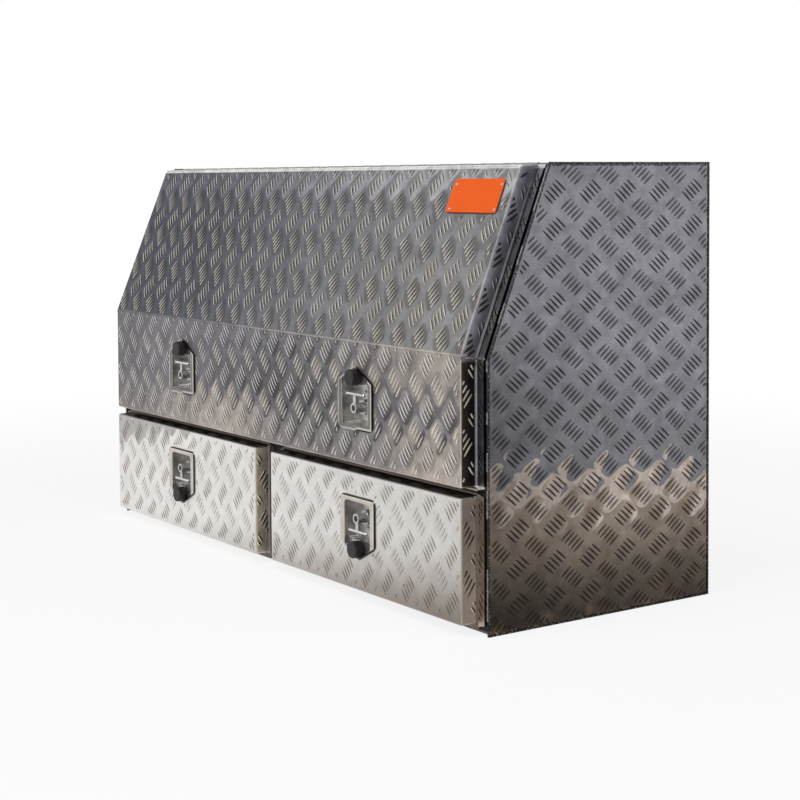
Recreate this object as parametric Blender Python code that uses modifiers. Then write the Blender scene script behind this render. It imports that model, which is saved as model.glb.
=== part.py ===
"""Two-drawer tray toolbox in aluminium tread plate, with a lift-up door over two drawers.

Metres, +Z up, +X to the right of someone facing the fronts, -Y towards that person.
The origin is under the middle of the whole box, on the surface that it stands on.
"""
import math

import bmesh
import bpy
from mathutils import Matrix, Vector

MM = 0.001

# Driving sizes of the cabinet
WIDTH = 1445 * MM
HEIGHT = 850 * MM
BODY_DEPTH = 551 * MM
KINK_HEIGHT = 499 * MM
ROOF_SETBACK = 145 * MM
SHEET = 3.0 * MM
TREAD_HEIGHT = 1.2 * MM
RIM_WIDTH = 4.0 * MM
RIM_STEP_WIDTH = 0.5 * MM
GAP = 0.3 * MM
CUT_OVERRUN = 5.0 * MM
WELD_OVERLAP = 1.0 * MM
MERGE_DISTANCE = 0.01 * MM

# Front frame of the cabinet
JAMB_SETBACK = 12.0 * MM
JAMB_WIDTH = 22.0 * MM
HEADER_DROP = 26.0 * MM
SILL_HEIGHT = 27.0 * MM
DIVIDER_FLANGE_WIDTH = 58.0 * MM
SEAL_WIDTH = 13.0 * MM
SEAL_SIDE_WIDTH = 17.0 * MM
SEAL_INSET = 1.0 * MM
SEAL_WALL_GAP = 1.5 * MM
SEAL_STEP = 0.2 * MM
STRIP_CORNER_CUT = 6.0 * MM

# Raised fronts: door and drawers
FRONT_PROUD = 36.5 * MM
FRONT_MARGIN = 33.0 * MM
SIDE_LIP = 23.0 * MM
EDGE_LIP = 7.0 * MM
BEND_RADIUS = 4.5 * MM
BEND_SEGMENTS = 3
DOOR_BOTTOM = 266.5 * MM
DOOR_TOP_DROP = 4.0 * MM
FRONT_GAP = 16.5 * MM
DRAWER_BOTTOM = 18.5 * MM
DRAWER_SPLIT = 63.0 * MM
DRAWER_INNER_LIP = 18.0 * MM
DRAWER_BOTTOM_LIP = 12.0 * MM

# Shelf and rail between the upper compartment and the drawers
RAIL_ABOVE_DOOR_BOTTOM = 24.5 * MM
RAIL_BELOW_DRAWER_TOP = 10.0 * MM
RAIL_FLANGE = 20.0 * MM
SHELF_DROP = 2.5 * MM

# Continuous hinge along the top of the door
KNUCKLE_RADIUS = 4.0 * MM
HINGE_PIN_RADIUS = 1.6 * MM
HINGE_BORE_CLEARANCE = 0.2 * MM
HINGE_SETBACK = 7.0 * MM
HINGE_BELOW_ROOF = 4.8 * MM
LEAF = 1.6 * MM
LEAF_WIDTH = 30.0 * MM
CABINET_LEAF_WIDTH = 18.0 * MM
TAB_INSET = 0.2 * MM
LEAF_CLEARANCE = 0.8 * MM
KNUCKLE_COUNT = 11
KNUCKLE_GAP = 0.5 * MM
HINGE_END_GAP = 3.0 * MM

# Gas struts
STRUT_STUD_BELOW_ROOF = 149.8 * MM
STRUT_PIVOT_BEHIND_HINGE = 169.4 * MM
STRUT_PIVOT_BELOW_HINGE = 175.2 * MM
STRUT_INSET = 12.5 * MM
STRUT_TUBE_RADIUS = 9.0 * MM
STRUT_ROD_RADIUS = 4.2 * MM
STRUT_EYE_RADIUS = 10.0 * MM
STRUT_EYE_THICKNESS = 6.0 * MM
STRUT_PIN_RADIUS = 4.0 * MM
STRUT_POST_RADIUS = 8.0 * MM
STRUT_NECK_RADIUS = 5.0 * MM
STRUT_NECK = 18.0 * MM
STRUT_ROD_SHOWING = 30.0 * MM
STRUT_ROD_INTO_EYE = 3.0 * MM
STRUT_TUBE_FLOOR = 9.0 * MM
STRUT_STOP_GAP = 5.0 * MM
RUNNING_CLEARANCE = 0.3 * MM
OPEN_PIVOT_GAP = 0.6 * MM
BRACKET_LENGTH = 60.0 * MM
BRACKET_WIDTH = 40.0 * MM
STUD_PLATE_REACH = 28.0 * MM
STUD_PLATE_TAIL = 12.0 * MM
STUD_RADIUS = 5.0 * MM

# Stiffener across the inside of the slope
STIFFENER_UP_SLOPE = 165 * MM
STIFFENER_CREST = 40 * MM
STIFFENER_FOOT = 20 * MM
STIFFENER_DEPTH = 20 * MM
STIFFENER_SHEET = 2.0 * MM
STIFFENER_END_GAP = 45 * MM

# Drawer trays and their slides
TRAY_SHEET = 2.0 * MM
TRAY_DEPTH_BEHIND_FRAME = 500 * MM
TRAY_FRONT_WALL_SETBACK = 28 * MM
TRAY_SILL_CLEARANCE = 3.0 * MM
TRAY_RAIL_CLEARANCE = 5.0 * MM
SLIDE_LENGTH = 480 * MM
SLIDE_SETBACK = 20 * MM
SLIDE_HEIGHT = 45 * MM
SLIDE_THICKNESS = 19 * MM
SLIDE_SHEET = 1.5 * MM
SLIDE_RUNNING_GAP = 0.6 * MM
SLIDE_FRAME_CLEARANCE = 1.0 * MM
SLIDE_UP_FROM_TRAY_FLOOR = 60 * MM
SLIDE_OUTER_CHANNEL = 11 * MM
SLIDE_MIDDLE_FROM = 2.5 * MM
SLIDE_MIDDLE_TO = 14 * MM
SLIDE_INNER_FROM = 6.0 * MM

# Recessed latches
LATCH_PLATE_HALF_WIDTH = 59.5 * MM
LATCH_PLATE_FLAT_END = 43.5 * MM
LATCH_PLATE_SHOULDER = 52.0 * MM
LATCH_PLATE_APEX = 84.0 * MM
LATCH_PLATE_CORNER = 14.0 * MM
LATCH_PLATE_THICKNESS = 2.0 * MM
LATCH_SHEET = 1.5 * MM
DISH_DEPTH = 25.0 * MM
DISH_HALF_WIDTH = 44.0 * MM
DISH_FLAT_END = 32.7 * MM
DISH_CORNER = 7.0 * MM
SHELF_START = 44.0 * MM
SHELF_DEPTH = 9.0 * MM
SHELF_MARGIN = 3.3 * MM
BOSS_RADIUS = 15.0 * MM
BOSS_HEIGHT = 7.0 * MM
HUB_RADIUS = 10.0 * MM
HUB_PROUD = 3.0 * MM
HUB_BORE_DEPTH = 18.0 * MM
SPINDLE_RADIUS = 7.0 * MM
SPINDLE_TAIL = 4.0 * MM
STEM_WIDTH = 9.0 * MM
STEM_THICKNESS = 6.0 * MM
T_BAR_REACH = 26.5 * MM
T_BAR_HALF_LENGTH = 31.5 * MM
T_BAR_RADIUS = 3.6 * MM
T_BAR_DEPTH = 2.5 * MM
KEY_RADIUS = 6.0 * MM
KEY_LENGTH = 17.9 * MM
KEY_PROUD = 0.4 * MM
KEY_SLOT_WIDTH = 1.4 * MM
KEY_SLOT_LENGTH = 7.0 * MM
KEY_SLOT_DEPTH = 3.0 * MM
CAM_LENGTH = 95.0 * MM
CAM_WIDTH = 24.0 * MM
CAM_SHEET = 3.0 * MM
CAM_COLLAR_RADIUS = 11.0 * MM
CAM_COLLAR = 5.0 * MM
CAM_CATCH_CLEARANCE = 0.8 * MM
BUTTON_OFFSET = 60.0 * MM
BUTTON_RADIUS = 16.5 * MM
BUTTON_PROUD = 14.5 * MM
BUTTON_TRAVEL = 4.0 * MM
BUTTON_EDGE = 2.5 * MM
BUTTON_STEM_RADIUS = 6.0 * MM
BUTTON_RETAINER_RADIUS = 8.5 * MM
BUTTON_RETAINER = 2.0 * MM
BUTTON_STEM_TAIL = 3.0 * MM
DOOR_LATCH_X = 355 * MM
LATCH_TO_DOOR_EDGE = 110 * MM
LATCH_TO_DRAWER_EDGE = 89.5 * MM
HOLE_CLEARANCE = 0.5 * MM
CAM_TIP_RADIUS = 5.0 * MM
CAM_ROUND_SHARE = 0.8

# Plain plate in the badge's place
NAME_PLATE_FROM_SIDE = 102.5 * MM
NAME_PLATE_BELOW_ROOF = 82.4 * MM
NAME_PLATE_WIDTH = 153 * MM
NAME_PLATE_HEIGHT = 70 * MM
NAME_PLATE_SHEET = 1.0 * MM
NAME_PLATE_CORNER = 9.0 * MM
NAME_PLATE_RIVET_INSET = 9.0 * MM
NAME_PLATE_RIVET_RADIUS = 2.4 * MM
NAME_PLATE_RIVET_HEIGHT = 1.0 * MM
RECTANGLE_CORNERS = 4

ROUND_SEGMENTS = 24
SMALL_SEGMENTS = 16
ARC_STEPS = 4
SMOOTH_ANGLE = math.radians(35)
BEND_LIMIT = math.radians(15)
FLAT_LIMIT = math.radians(1)
FACING_SHARE = 0.999

# Places worked out from the driving sizes
SLOPE = math.atan2(ROOF_SETBACK, HEIGHT - KINK_HEIGHT)
SLOPE_LENGTH = math.hypot(ROOF_SETBACK, HEIGHT - KINK_HEIGHT)
FRONT_MOST = FRONT_PROUD + GAP + LATCH_PLATE_THICKNESS + BUTTON_PROUD
FRONT_Y = FRONT_MOST - (BODY_DEPTH + FRONT_MOST) / 2
BACK_Y = FRONT_Y + BODY_DEPTH
HALF_WIDTH = WIDTH / 2
WALL_X = HALF_WIDTH - TREAD_HEIGHT - SHEET
JAMB_X = WALL_X - JAMB_WIDTH
JAMB_FACE = JAMB_SETBACK
JAMB_BACK = JAMB_SETBACK + SHEET
FRONT_X = HALF_WIDTH - FRONT_MARGIN
ROOF_TOP = HEIGHT - TREAD_HEIGHT
ROOF_UNDER = ROOF_TOP - SHEET
BACK_INNER_Y = BACK_Y - TREAD_HEIGHT - SHEET
DOOR_TOP = HEIGHT - DOOR_TOP_DROP
DRAWER_TOP = DOOR_BOTTOM - FRONT_GAP
SPLIT_X = DRAWER_SPLIT / 2
RAIL_TOP = DOOR_BOTTOM + RAIL_ABOVE_DOOR_BOTTOM
RAIL_BOTTOM = DRAWER_TOP - RAIL_BELOW_DRAWER_TOP
SHELF_TOP = DOOR_BOTTOM - SHELF_DROP
SHELF_UNDER = SHELF_TOP - SHEET
HINGE_Z = HEIGHT - HINGE_BELOW_ROOF
PLATE_FACE_Y = FRONT_Y - FRONT_PROUD - GAP - LATCH_PLATE_THICKNESS


def offset_y(z, out):
    """Y of the cabinet's front outline at height z, moved out by a distance."""
    kink_z = KINK_HEIGHT + out * math.tan(SLOPE / 2)
    if z <= kink_z:
        return FRONT_Y - out
    return FRONT_Y + (z - KINK_HEIGHT) * math.tan(SLOPE) - out / math.cos(SLOPE)


def offset_kink(out):
    """The corner of the front outline, moved out by a distance."""
    return (FRONT_Y - out, KINK_HEIGHT + out * math.tan(SLOPE / 2))


def on_slope(along, out):
    """A point up the slope from the corner, moved out square to the slope."""
    y = FRONT_Y + along * math.sin(SLOPE) - out * math.cos(SLOPE)
    z = KINK_HEIGHT + along * math.cos(SLOPE) + out * math.sin(SLOPE)
    return (y, z)


def slope_turn():
    """Turns X, Y, Z to across the slope, up the slope and square out of it."""
    along = Vector((0, math.sin(SLOPE), math.cos(SLOPE)))
    out = Vector((0, -math.cos(SLOPE), math.sin(SLOPE)))
    return Matrix((Vector((1, 0, 0)), along, out)).transposed().to_4x4()


HINGE_Y = offset_y(HINGE_Z, -HINGE_SETBACK)
DRAWER_CENTRE_X = (SPLIT_X + FRONT_X) / 2
DOOR_LATCH_Z = DOOR_BOTTOM + LATCH_TO_DOOR_EDGE
DRAWER_LATCH_Z = DRAWER_TOP - LATCH_TO_DRAWER_EDGE


# Scene, collections, materials and frames
def clear_scene():
    for old in list(bpy.data.objects):
        bpy.data.objects.remove(old, do_unlink=True)


def collection(name):
    made = bpy.data.collections.new(name)
    bpy.context.scene.collection.children.link(made)
    return made


clear_scene()
PARTS = collection("two_drawer_toolbox")
CUTTERS = collection("cutters")


def material(name, colour, metallic, roughness):
    made = bpy.data.materials.new(name)
    made.use_nodes = True
    shader = made.node_tree.nodes["Principled BSDF"]
    shader.inputs["Base Color"].default_value = (*colour, 1.0)
    shader.inputs["Metallic"].default_value = metallic
    shader.inputs["Roughness"].default_value = roughness
    made.diffuse_color = (*colour, 1.0)
    return made


TREAD_ALUMINIUM = material("tread_aluminium", (0.62, 0.62, 0.64), 1.0, 0.28)
PLAIN_ALUMINIUM = material("plain_aluminium", (0.55, 0.55, 0.56), 1.0, 0.38)
STAINLESS = material("stainless", (0.66, 0.65, 0.63), 1.0, 0.22)
ZINC_STEEL = material("zinc_steel", (0.50, 0.51, 0.53), 1.0, 0.35)
BLACK_RUBBER = material("black_rubber", (0.02, 0.02, 0.022), 0.0, 0.75)
BLACK_ENAMEL = material("black_enamel", (0.03, 0.03, 0.032), 0.0, 0.35)
ORANGE_ENAMEL = material("orange_enamel", (0.80, 0.17, 0.03), 0.0, 0.35)
BRASS = material("key_brass", (0.60, 0.48, 0.27), 1.0, 0.30)


def frame(name, place, parent=None, turn=None):
    """An empty that carries the pieces which move together."""
    empty = bpy.data.objects.new(name, None)
    PARTS.objects.link(empty)
    spot = Matrix.Translation(Vector(place)) @ (turn or Matrix.Identity(4))
    if parent is not None:
        empty.parent = parent
        empty.matrix_local = FRAME_PLACES[parent.name].inverted() @ spot
    else:
        empty.matrix_local = spot
    FRAME_PLACES[name] = spot
    return empty


FRAME_PLACES = {}
CABINET = frame("cabinet_frame", (0, 0, 0))
DOOR = frame("door_frame", (0, HINGE_Y, HINGE_Z), CABINET)


# Mesh makers: each gives a mesh in the world's axes
def mesh_from(bm, name):
    mesh = bpy.data.meshes.new(name)
    bm.to_mesh(mesh)
    bm.free()
    return mesh


def box(low, high):
    bm = bmesh.new()
    bmesh.ops.create_cube(bm, size=1.0)
    low = Vector(low)
    high = Vector(high)
    size = high - low
    bmesh.ops.scale(bm, vec=size, verts=bm.verts)
    bmesh.ops.translate(bm, vec=(low + high) / 2, verts=bm.verts)
    return mesh_from(bm, "box")


def evaluated_copy(source):
    """The mesh that a temporary object gives with its modifiers, and the object removed."""
    bpy.context.view_layer.update()
    graph = bpy.context.evaluated_depsgraph_get()
    mesh = bpy.data.meshes.new_from_object(source.evaluated_get(graph))
    bpy.data.objects.remove(source, do_unlink=True)
    return mesh


def weld(mesh):
    bm = bmesh.new()
    bm.from_mesh(mesh)
    bmesh.ops.remove_doubles(bm, verts=bm.verts, dist=MERGE_DISTANCE)
    bmesh.ops.recalc_face_normals(bm, faces=bm.faces)
    bm.to_mesh(mesh)
    bm.free()
    return mesh


# Local x, y, z of an outline go to these world axes
OUTLINE_TO_YZ = Matrix(((0, 0, 1, 0), (1, 0, 0, 0), (0, 1, 0, 0), (0, 0, 0, 1)))
OUTLINE_TO_XZ = Matrix(((1, 0, 0, 0), (0, 0, -1, 0), (0, 1, 0, 0), (0, 0, 0, 1)))


def outline_solid(outlines, thickness, axes, place):
    """A flat outline, with any holes as further outlines, made thick about its plane."""
    curve = bpy.data.curves.new("outline", "CURVE")
    curve.dimensions = "2D"
    curve.fill_mode = "BOTH"
    curve.extrude = thickness / 2
    for points in outlines:
        spline = curve.splines.new("POLY")
        spline.points.add(len(points) - 1)
        for spot, (u, v) in zip(spline.points, points):
            spot.co = (u, v, 0.0, 1.0)
        spline.use_cyclic_u = True
    holder = bpy.data.objects.new("outline", curve)
    bpy.context.scene.collection.objects.link(holder)
    mesh = weld(evaluated_copy(holder))
    bpy.data.curves.remove(curve)
    mesh.transform(Matrix.Translation(Vector(place)) @ axes)
    return mesh


def prism_x(points, x_low, x_high):
    """A (y, z) outline that runs along X."""
    middle = ((x_low + x_high) / 2, 0, 0)
    return outline_solid([points], x_high - x_low, OUTLINE_TO_YZ, middle)


def prism_y(outlines, y_low, y_high):
    """(x, z) outlines that run along Y."""
    middle = (0, (y_low + y_high) / 2, 0)
    return outline_solid(outlines, y_high - y_low, OUTLINE_TO_XZ, middle)


def smoothed(mesh):
    mesh.shade_smooth()
    mesh.set_sharp_from_angle(angle=SMOOTH_ANGLE)
    return mesh


def cylinder(radius, low, high, segments=ROUND_SEGMENTS):
    """A straight cylinder between two points."""
    low = Vector(low)
    high = Vector(high)
    bm = bmesh.new()
    length = (high - low).length
    bmesh.ops.create_cone(bm, cap_ends=True, segments=segments, radius1=radius,
                          radius2=radius, depth=length)
    mesh = mesh_from(bm, "cylinder")
    turn = (high - low).to_track_quat("Z", "Y").to_matrix().to_4x4()
    mesh.transform(Matrix.Translation((low + high) / 2) @ turn)
    return smoothed(mesh)


def turned(profile, segments, axis_turn):
    """A (radius, height) profile turned about the axis that +Z is sent to."""
    bm = bmesh.new()
    corners = [bm.verts.new((radius, 0.0, height)) for radius, height in profile]
    for first, second in zip(corners, corners[1:]):
        bm.edges.new((first, second))
    holder = bpy.data.objects.new("turned", mesh_from(bm, "turned"))
    bpy.context.scene.collection.objects.link(holder)
    screw = holder.modifiers.new("screw", "SCREW")
    screw.steps = segments
    screw.render_steps = segments
    screw.use_merge_vertices = True
    screw.merge_threshold = MERGE_DISTANCE
    mesh = weld(evaluated_copy(holder))
    mesh.transform(axis_turn)
    return smoothed(mesh)


TURN_TO_Y = Matrix.Rotation(-math.pi / 2, 4, "X")


def rounded(points, radii):
    """An outline whose corners are arcs, with one radius for each corner."""
    out = []
    count = len(points)
    for index, (corner, radius) in enumerate(zip(points, radii)):
        here = Vector(corner)
        back = (Vector(points[index - 1]) - here).normalized()
        ahead = (Vector(points[(index + 1) % count]) - here).normalized()
        if radius <= 0:
            out.append(tuple(here))
            continue
        half = back.angle(ahead) / 2
        reach = radius / math.tan(half)
        centre = here + (back + ahead).normalized() * (radius / math.sin(half))
        start = here + back * reach - centre
        sweep = math.pi - 2 * half
        sign = 1.0 if back.cross(ahead) < 0 else -1.0
        for step in range(ARC_STEPS + 1):
            angle = sign * sweep * step / ARC_STEPS
            turn = Matrix.Rotation(angle, 2)
            out.append(tuple(centre + turn @ start))
    return out


def rectangle(x_low, x_high, z_low, z_high):
    return [(x_low, z_low), (x_high, z_low), (x_high, z_high), (x_low, z_high)]


# Objects: meshes come in world places and are stored about their frame
def add(name, mesh, surface, parent=None):
    parent = parent or CABINET
    mesh.transform(FRAME_PLACES[parent.name].inverted())
    made = bpy.data.objects.new(name, mesh)
    PARTS.objects.link(made)
    made.parent = parent
    mesh.materials.clear()
    mesh.materials.append(surface)
    return made


def cutter(mesh):
    made = bpy.data.objects.new("cutter", mesh)
    CUTTERS.objects.link(made)
    made.hide_render = True
    made.display_type = "WIRE"
    return made


def combine(target, mesh, operation):
    modifier = target.modifiers.new(operation.lower(), "BOOLEAN")
    modifier.operation = operation
    modifier.solver = "EXACT"
    modifier.object = cutter(mesh)


def fuse(target, mesh):
    combine(target, mesh, "UNION")


def cut(target, mesh):
    combine(target, mesh, "DIFFERENCE")


def joined(meshes):
    """Separate solids in one mesh, for use as one cutter or one addition."""
    bm = bmesh.new()
    for mesh in meshes:
        bm.from_mesh(mesh)
    return mesh_from(bm, "joined")


def both_sides():
    return (("left", -1.0), ("right", 1.0))


def x_span(sign, inner, outer):
    """Low and high X of a span that is given by its distances from the middle."""
    first = sign * inner
    second = sign * outer
    return (min(first, second), max(first, second))


# Cabinet
def end_panel_outline():
    return [(FRONT_Y, 0), (BACK_Y, 0), (BACK_Y, HEIGHT),
            (FRONT_Y + ROOF_SETBACK, HEIGHT), (FRONT_Y, KINK_HEIGHT)]


def frame_strip(z_low, z_high, out_front, out_back):
    """An outline that follows the cabinet's front between two heights, cut flat at the corner."""
    corner_y, corner_z = offset_kink(out_front)
    up = STRIP_CORNER_CUT * math.cos(SLOPE)
    back = STRIP_CORNER_CUT * math.sin(SLOPE)
    return [(offset_y(z_low, out_front), z_low), (corner_y, corner_z - STRIP_CORNER_CUT),
            (corner_y + back, corner_z + up), (offset_y(z_high, out_front), z_high),
            (offset_y(z_high, out_back), z_high), offset_kink(out_back),
            (offset_y(z_low, out_back), z_low)]


def header_bottom():
    """Lower edge of the roof's folded front flange."""
    return ROOF_TOP - HEADER_DROP * math.cos(SLOPE)


def make_end_panel(side, sign):
    low, high = x_span(sign, WALL_X, HALF_WIDTH)
    mesh = prism_x(end_panel_outline(), low, high)
    bm = bmesh.new()
    bm.from_mesh(mesh)
    bmesh.ops.dissolve_limit(bm, angle_limit=BEND_LIMIT, verts=bm.verts, edges=bm.edges)
    outer = [face for face in bm.faces if face.normal.x * sign > FACING_SHARE]
    bmesh.ops.inset_region(bm, faces=outer, thickness=RIM_WIDTH)
    bmesh.ops.inset_region(bm, faces=outer, thickness=RIM_STEP_WIDTH, depth=-TREAD_HEIGHT)
    bm.to_mesh(mesh)
    bm.free()
    panel = add(f"end_panel_{side}", mesh, TREAD_ALUMINIUM)
    jamb_low, jamb_high = x_span(sign, JAMB_X, WALL_X + WELD_OVERLAP)
    jamb = frame_strip(SILL_HEIGHT + GAP, header_bottom() - GAP, -JAMB_FACE, -JAMB_BACK)
    fuse(panel, prism_x(jamb, jamb_low, jamb_high))


def make_roof():
    x = WALL_X - GAP
    lip_z = header_bottom()
    back = BACK_Y - TREAD_HEIGHT
    outline = [(back, ROOF_TOP), (offset_y(ROOF_TOP, -JAMB_FACE), ROOF_TOP),
               (offset_y(lip_z, -JAMB_FACE), lip_z), (offset_y(lip_z, -JAMB_BACK), lip_z),
               (offset_y(ROOF_UNDER, -JAMB_BACK), ROOF_UNDER), (back, ROOF_UNDER)]
    add("roof_panel", prism_x(outline, -x, x), TREAD_ALUMINIUM)


def make_floor():
    x = WALL_X - GAP
    front = FRONT_Y + JAMB_FACE
    outline = [(front, 0), (BACK_Y, 0), (BACK_Y, SHEET), (front + SHEET, SHEET),
               (front + SHEET, SILL_HEIGHT), (front, SILL_HEIGHT)]
    add("floor_panel", prism_x(outline, -x, x), PLAIN_ALUMINIUM)


def make_back():
    x = WALL_X - GAP
    low = (-x, BACK_INNER_Y, SHEET + GAP)
    high = (x, BACK_Y - TREAD_HEIGHT, ROOF_UNDER - GAP)
    add("back_panel", box(low, high), TREAD_ALUMINIUM)


def make_rail_and_shelf():
    x = JAMB_X - GAP
    front = FRONT_Y + JAMB_FACE
    back = FRONT_Y + JAMB_BACK
    web = rectangle(front, back, RAIL_BOTTOM, RAIL_TOP)
    rail = add("header_rail", prism_x(web, -x, x), PLAIN_ALUMINIUM)
    low = (-x, back - WELD_OVERLAP, SHELF_UNDER - GAP - SHEET)
    high = (x, back + RAIL_FLANGE, SHELF_UNDER - GAP)
    fuse(rail, box(low, high))
    wall = WALL_X - GAP
    add("mid_shelf", box((-wall, back + GAP, SHELF_UNDER), (wall, BACK_INNER_Y - GAP, SHELF_TOP)),
        PLAIN_ALUMINIUM)


def make_divider():
    front = FRONT_Y + JAMB_FACE
    back = FRONT_Y + JAMB_BACK
    behind_rail = back + RAIL_FLANGE + GAP
    low = SHEET + GAP
    flange_low = SILL_HEIGHT + GAP
    flange_high = RAIL_BOTTOM - GAP
    high = SHELF_UNDER - GAP
    rear = BACK_INNER_Y - GAP
    outline = [(back + GAP, low), (rear, low), (rear, high), (behind_rail, high),
               (behind_rail, flange_high - WELD_OVERLAP), (back - WELD_OVERLAP, flange_high - WELD_OVERLAP),
               (back - WELD_OVERLAP, flange_low + WELD_OVERLAP), (back + GAP, flange_low + WELD_OVERLAP)]
    half = SHEET / 2
    divider = add("drawer_divider", prism_x(outline, -half, half), PLAIN_ALUMINIUM)
    flange = DIVIDER_FLANGE_WIDTH / 2
    fuse(divider, box((-flange, front, flange_low), (flange, back, flange_high)))


# Seals, squeezed between the lips of the fronts and the frame
SEAL_FRONT = SHEET + GAP
SEAL_BACK = JAMB_FACE - GAP
SEAL_OUTER_X = WALL_X - SEAL_WALL_GAP
SEAL_INNER_X = SEAL_OUTER_X - SEAL_SIDE_WIDTH
SEAL_SPLIT_Z = (DOOR_BOTTOM + DRAWER_TOP) / 2


def make_door_seal():
    bottom = SEAL_SPLIT_Z + SEAL_INSET
    strip = frame_strip(bottom, header_bottom() - GAP, -SEAL_FRONT, -SEAL_BACK)
    seal = add("door_seal", prism_x(strip, *x_span(1.0, SEAL_INNER_X, SEAL_OUTER_X)), BLACK_RUBBER)
    x = SEAL_INNER_X + WELD_OVERLAP
    fuse(seal, box((-x, FRONT_Y + SEAL_FRONT + SEAL_STEP, bottom + SEAL_STEP),
                   (x, FRONT_Y + SEAL_BACK - SEAL_STEP, bottom + SEAL_WIDTH)))
    fuse(seal, prism_x(strip, *x_span(-1.0, SEAL_INNER_X, SEAL_OUTER_X)))


def make_drawer_seal():
    """One seal with a window for each drawer."""
    inner = SPLIT_X - DRAWER_INNER_LIP + SEAL_INSET + SEAL_WIDTH
    top = SEAL_SPLIT_Z - SEAL_INSET
    bottom = DRAWER_BOTTOM - DRAWER_BOTTOM_LIP + SEAL_INSET
    outlines = [rectangle(-SEAL_OUTER_X, SEAL_OUTER_X, bottom, top)]
    for _, sign in both_sides():
        window = rectangle(*x_span(sign, inner, SEAL_INNER_X), bottom + SEAL_WIDTH, top - SEAL_WIDTH)
        outlines.append(window[::-1])
    mesh = prism_y(outlines, FRONT_Y + SEAL_FRONT, FRONT_Y + SEAL_BACK)
    add("drawer_seal", mesh, BLACK_RUBBER)


# Folded fronts
def folded_front(name, outline_front, outline_lip, x_low, x_high, lips, surface, parent):
    """A raised pan with returns on every side and lips on the edges that lips names."""
    outline = outline_front + outline_lip[::-1]
    mesh = prism_x(outline, x_low, x_high)
    bm = bmesh.new()
    bm.from_mesh(mesh)
    bmesh.ops.dissolve_limit(bm, angle_limit=FLAT_LIMIT, verts=bm.verts, edges=bm.edges)
    back_normals = []
    for first, second in zip(outline_lip, outline_lip[1:]):
        along = Vector((0, second[0] - first[0], second[1] - first[1])).normalized()
        back_normals.append(Vector((0, along.z, -along.y)))
    backs = []
    for face in bm.faces:
        if any(face.normal.dot(normal) > FACING_SHARE for normal in back_normals):
            backs.append(face)
    bmesh.ops.delete(bm, geom=backs, context="FACES")
    for edge_low, edge_high, shift in lips:
        stretch_edges(bm, Vector(edge_low), Vector(edge_high), Vector(shift))
    bmesh.ops.recalc_face_normals(bm, faces=bm.faces)
    front_faces = [face for face in bm.faces if abs(face.normal.y) > FACING_SHARE]
    widest = max(front_faces, key=lambda face: face.calc_area())
    if widest.normal.y > 0:
        bmesh.ops.reverse_faces(bm, faces=bm.faces)
    bm.to_mesh(mesh)
    bm.free()
    front = add(name, mesh, surface, parent)
    bend = front.modifiers.new("bends", "BEVEL")
    bend.width = BEND_RADIUS
    bend.segments = BEND_SEGMENTS
    bend.limit_method = "ANGLE"
    bend.angle_limit = BEND_LIMIT
    bend.use_clamp_overlap = True
    shell = front.modifiers.new("sheet", "SOLIDIFY")
    shell.thickness = SHEET
    shell.offset = -1.0
    shell.use_even_offset = True
    return front



def stretch_edges(bm, low, high, shift):
    """Extrude the open edges that lie wholly inside a box by a shift."""
    chosen = []
    for edge in bm.edges:
        inside = True
        for corner in edge.verts:
            for axis in range(3):
                if not low[axis] - MERGE_DISTANCE <= corner.co[axis] <= high[axis] + MERGE_DISTANCE:
                    inside = False
        if edge.is_boundary and inside:
            chosen.append(edge)
    made = bmesh.ops.extrude_edge_only(bm, edges=chosen)
    moved = [item for item in made["geom"] if isinstance(item, bmesh.types.BMVert)]
    bmesh.ops.translate(bm, vec=shift, verts=moved)


def make_door_skin():
    front = [(offset_y(DOOR_BOTTOM, FRONT_PROUD), DOOR_BOTTOM), offset_kink(FRONT_PROUD),
             (offset_y(DOOR_TOP, FRONT_PROUD), DOOR_TOP)]
    lip = [(FRONT_Y, DOOR_BOTTOM), offset_kink(0), (offset_y(DOOR_TOP, 0), DOOR_TOP)]
    far = BODY_DEPTH
    lips = [((FRONT_X, -far, 0), (FRONT_X, far, HEIGHT), (SIDE_LIP, 0, 0)),
            ((-FRONT_X, -far, 0), (-FRONT_X, far, HEIGHT), (-SIDE_LIP, 0, 0)),
            ((-FRONT_X, FRONT_Y, DOOR_BOTTOM), (FRONT_X, FRONT_Y, DOOR_BOTTOM), (0, 0, -EDGE_LIP))]
    skin = folded_front("door_skin", front, lip, -FRONT_X, FRONT_X, lips, TREAD_ALUMINIUM, DOOR)
    for side, sign in both_sides():
        cut(skin, latch_hole((sign * DOOR_LATCH_X, DOOR_LATCH_Z), 1.0, FRONT_Y - FRONT_PROUD))


def drawer_frame_name(side):
    return f"drawer_{side}_frame"


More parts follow.
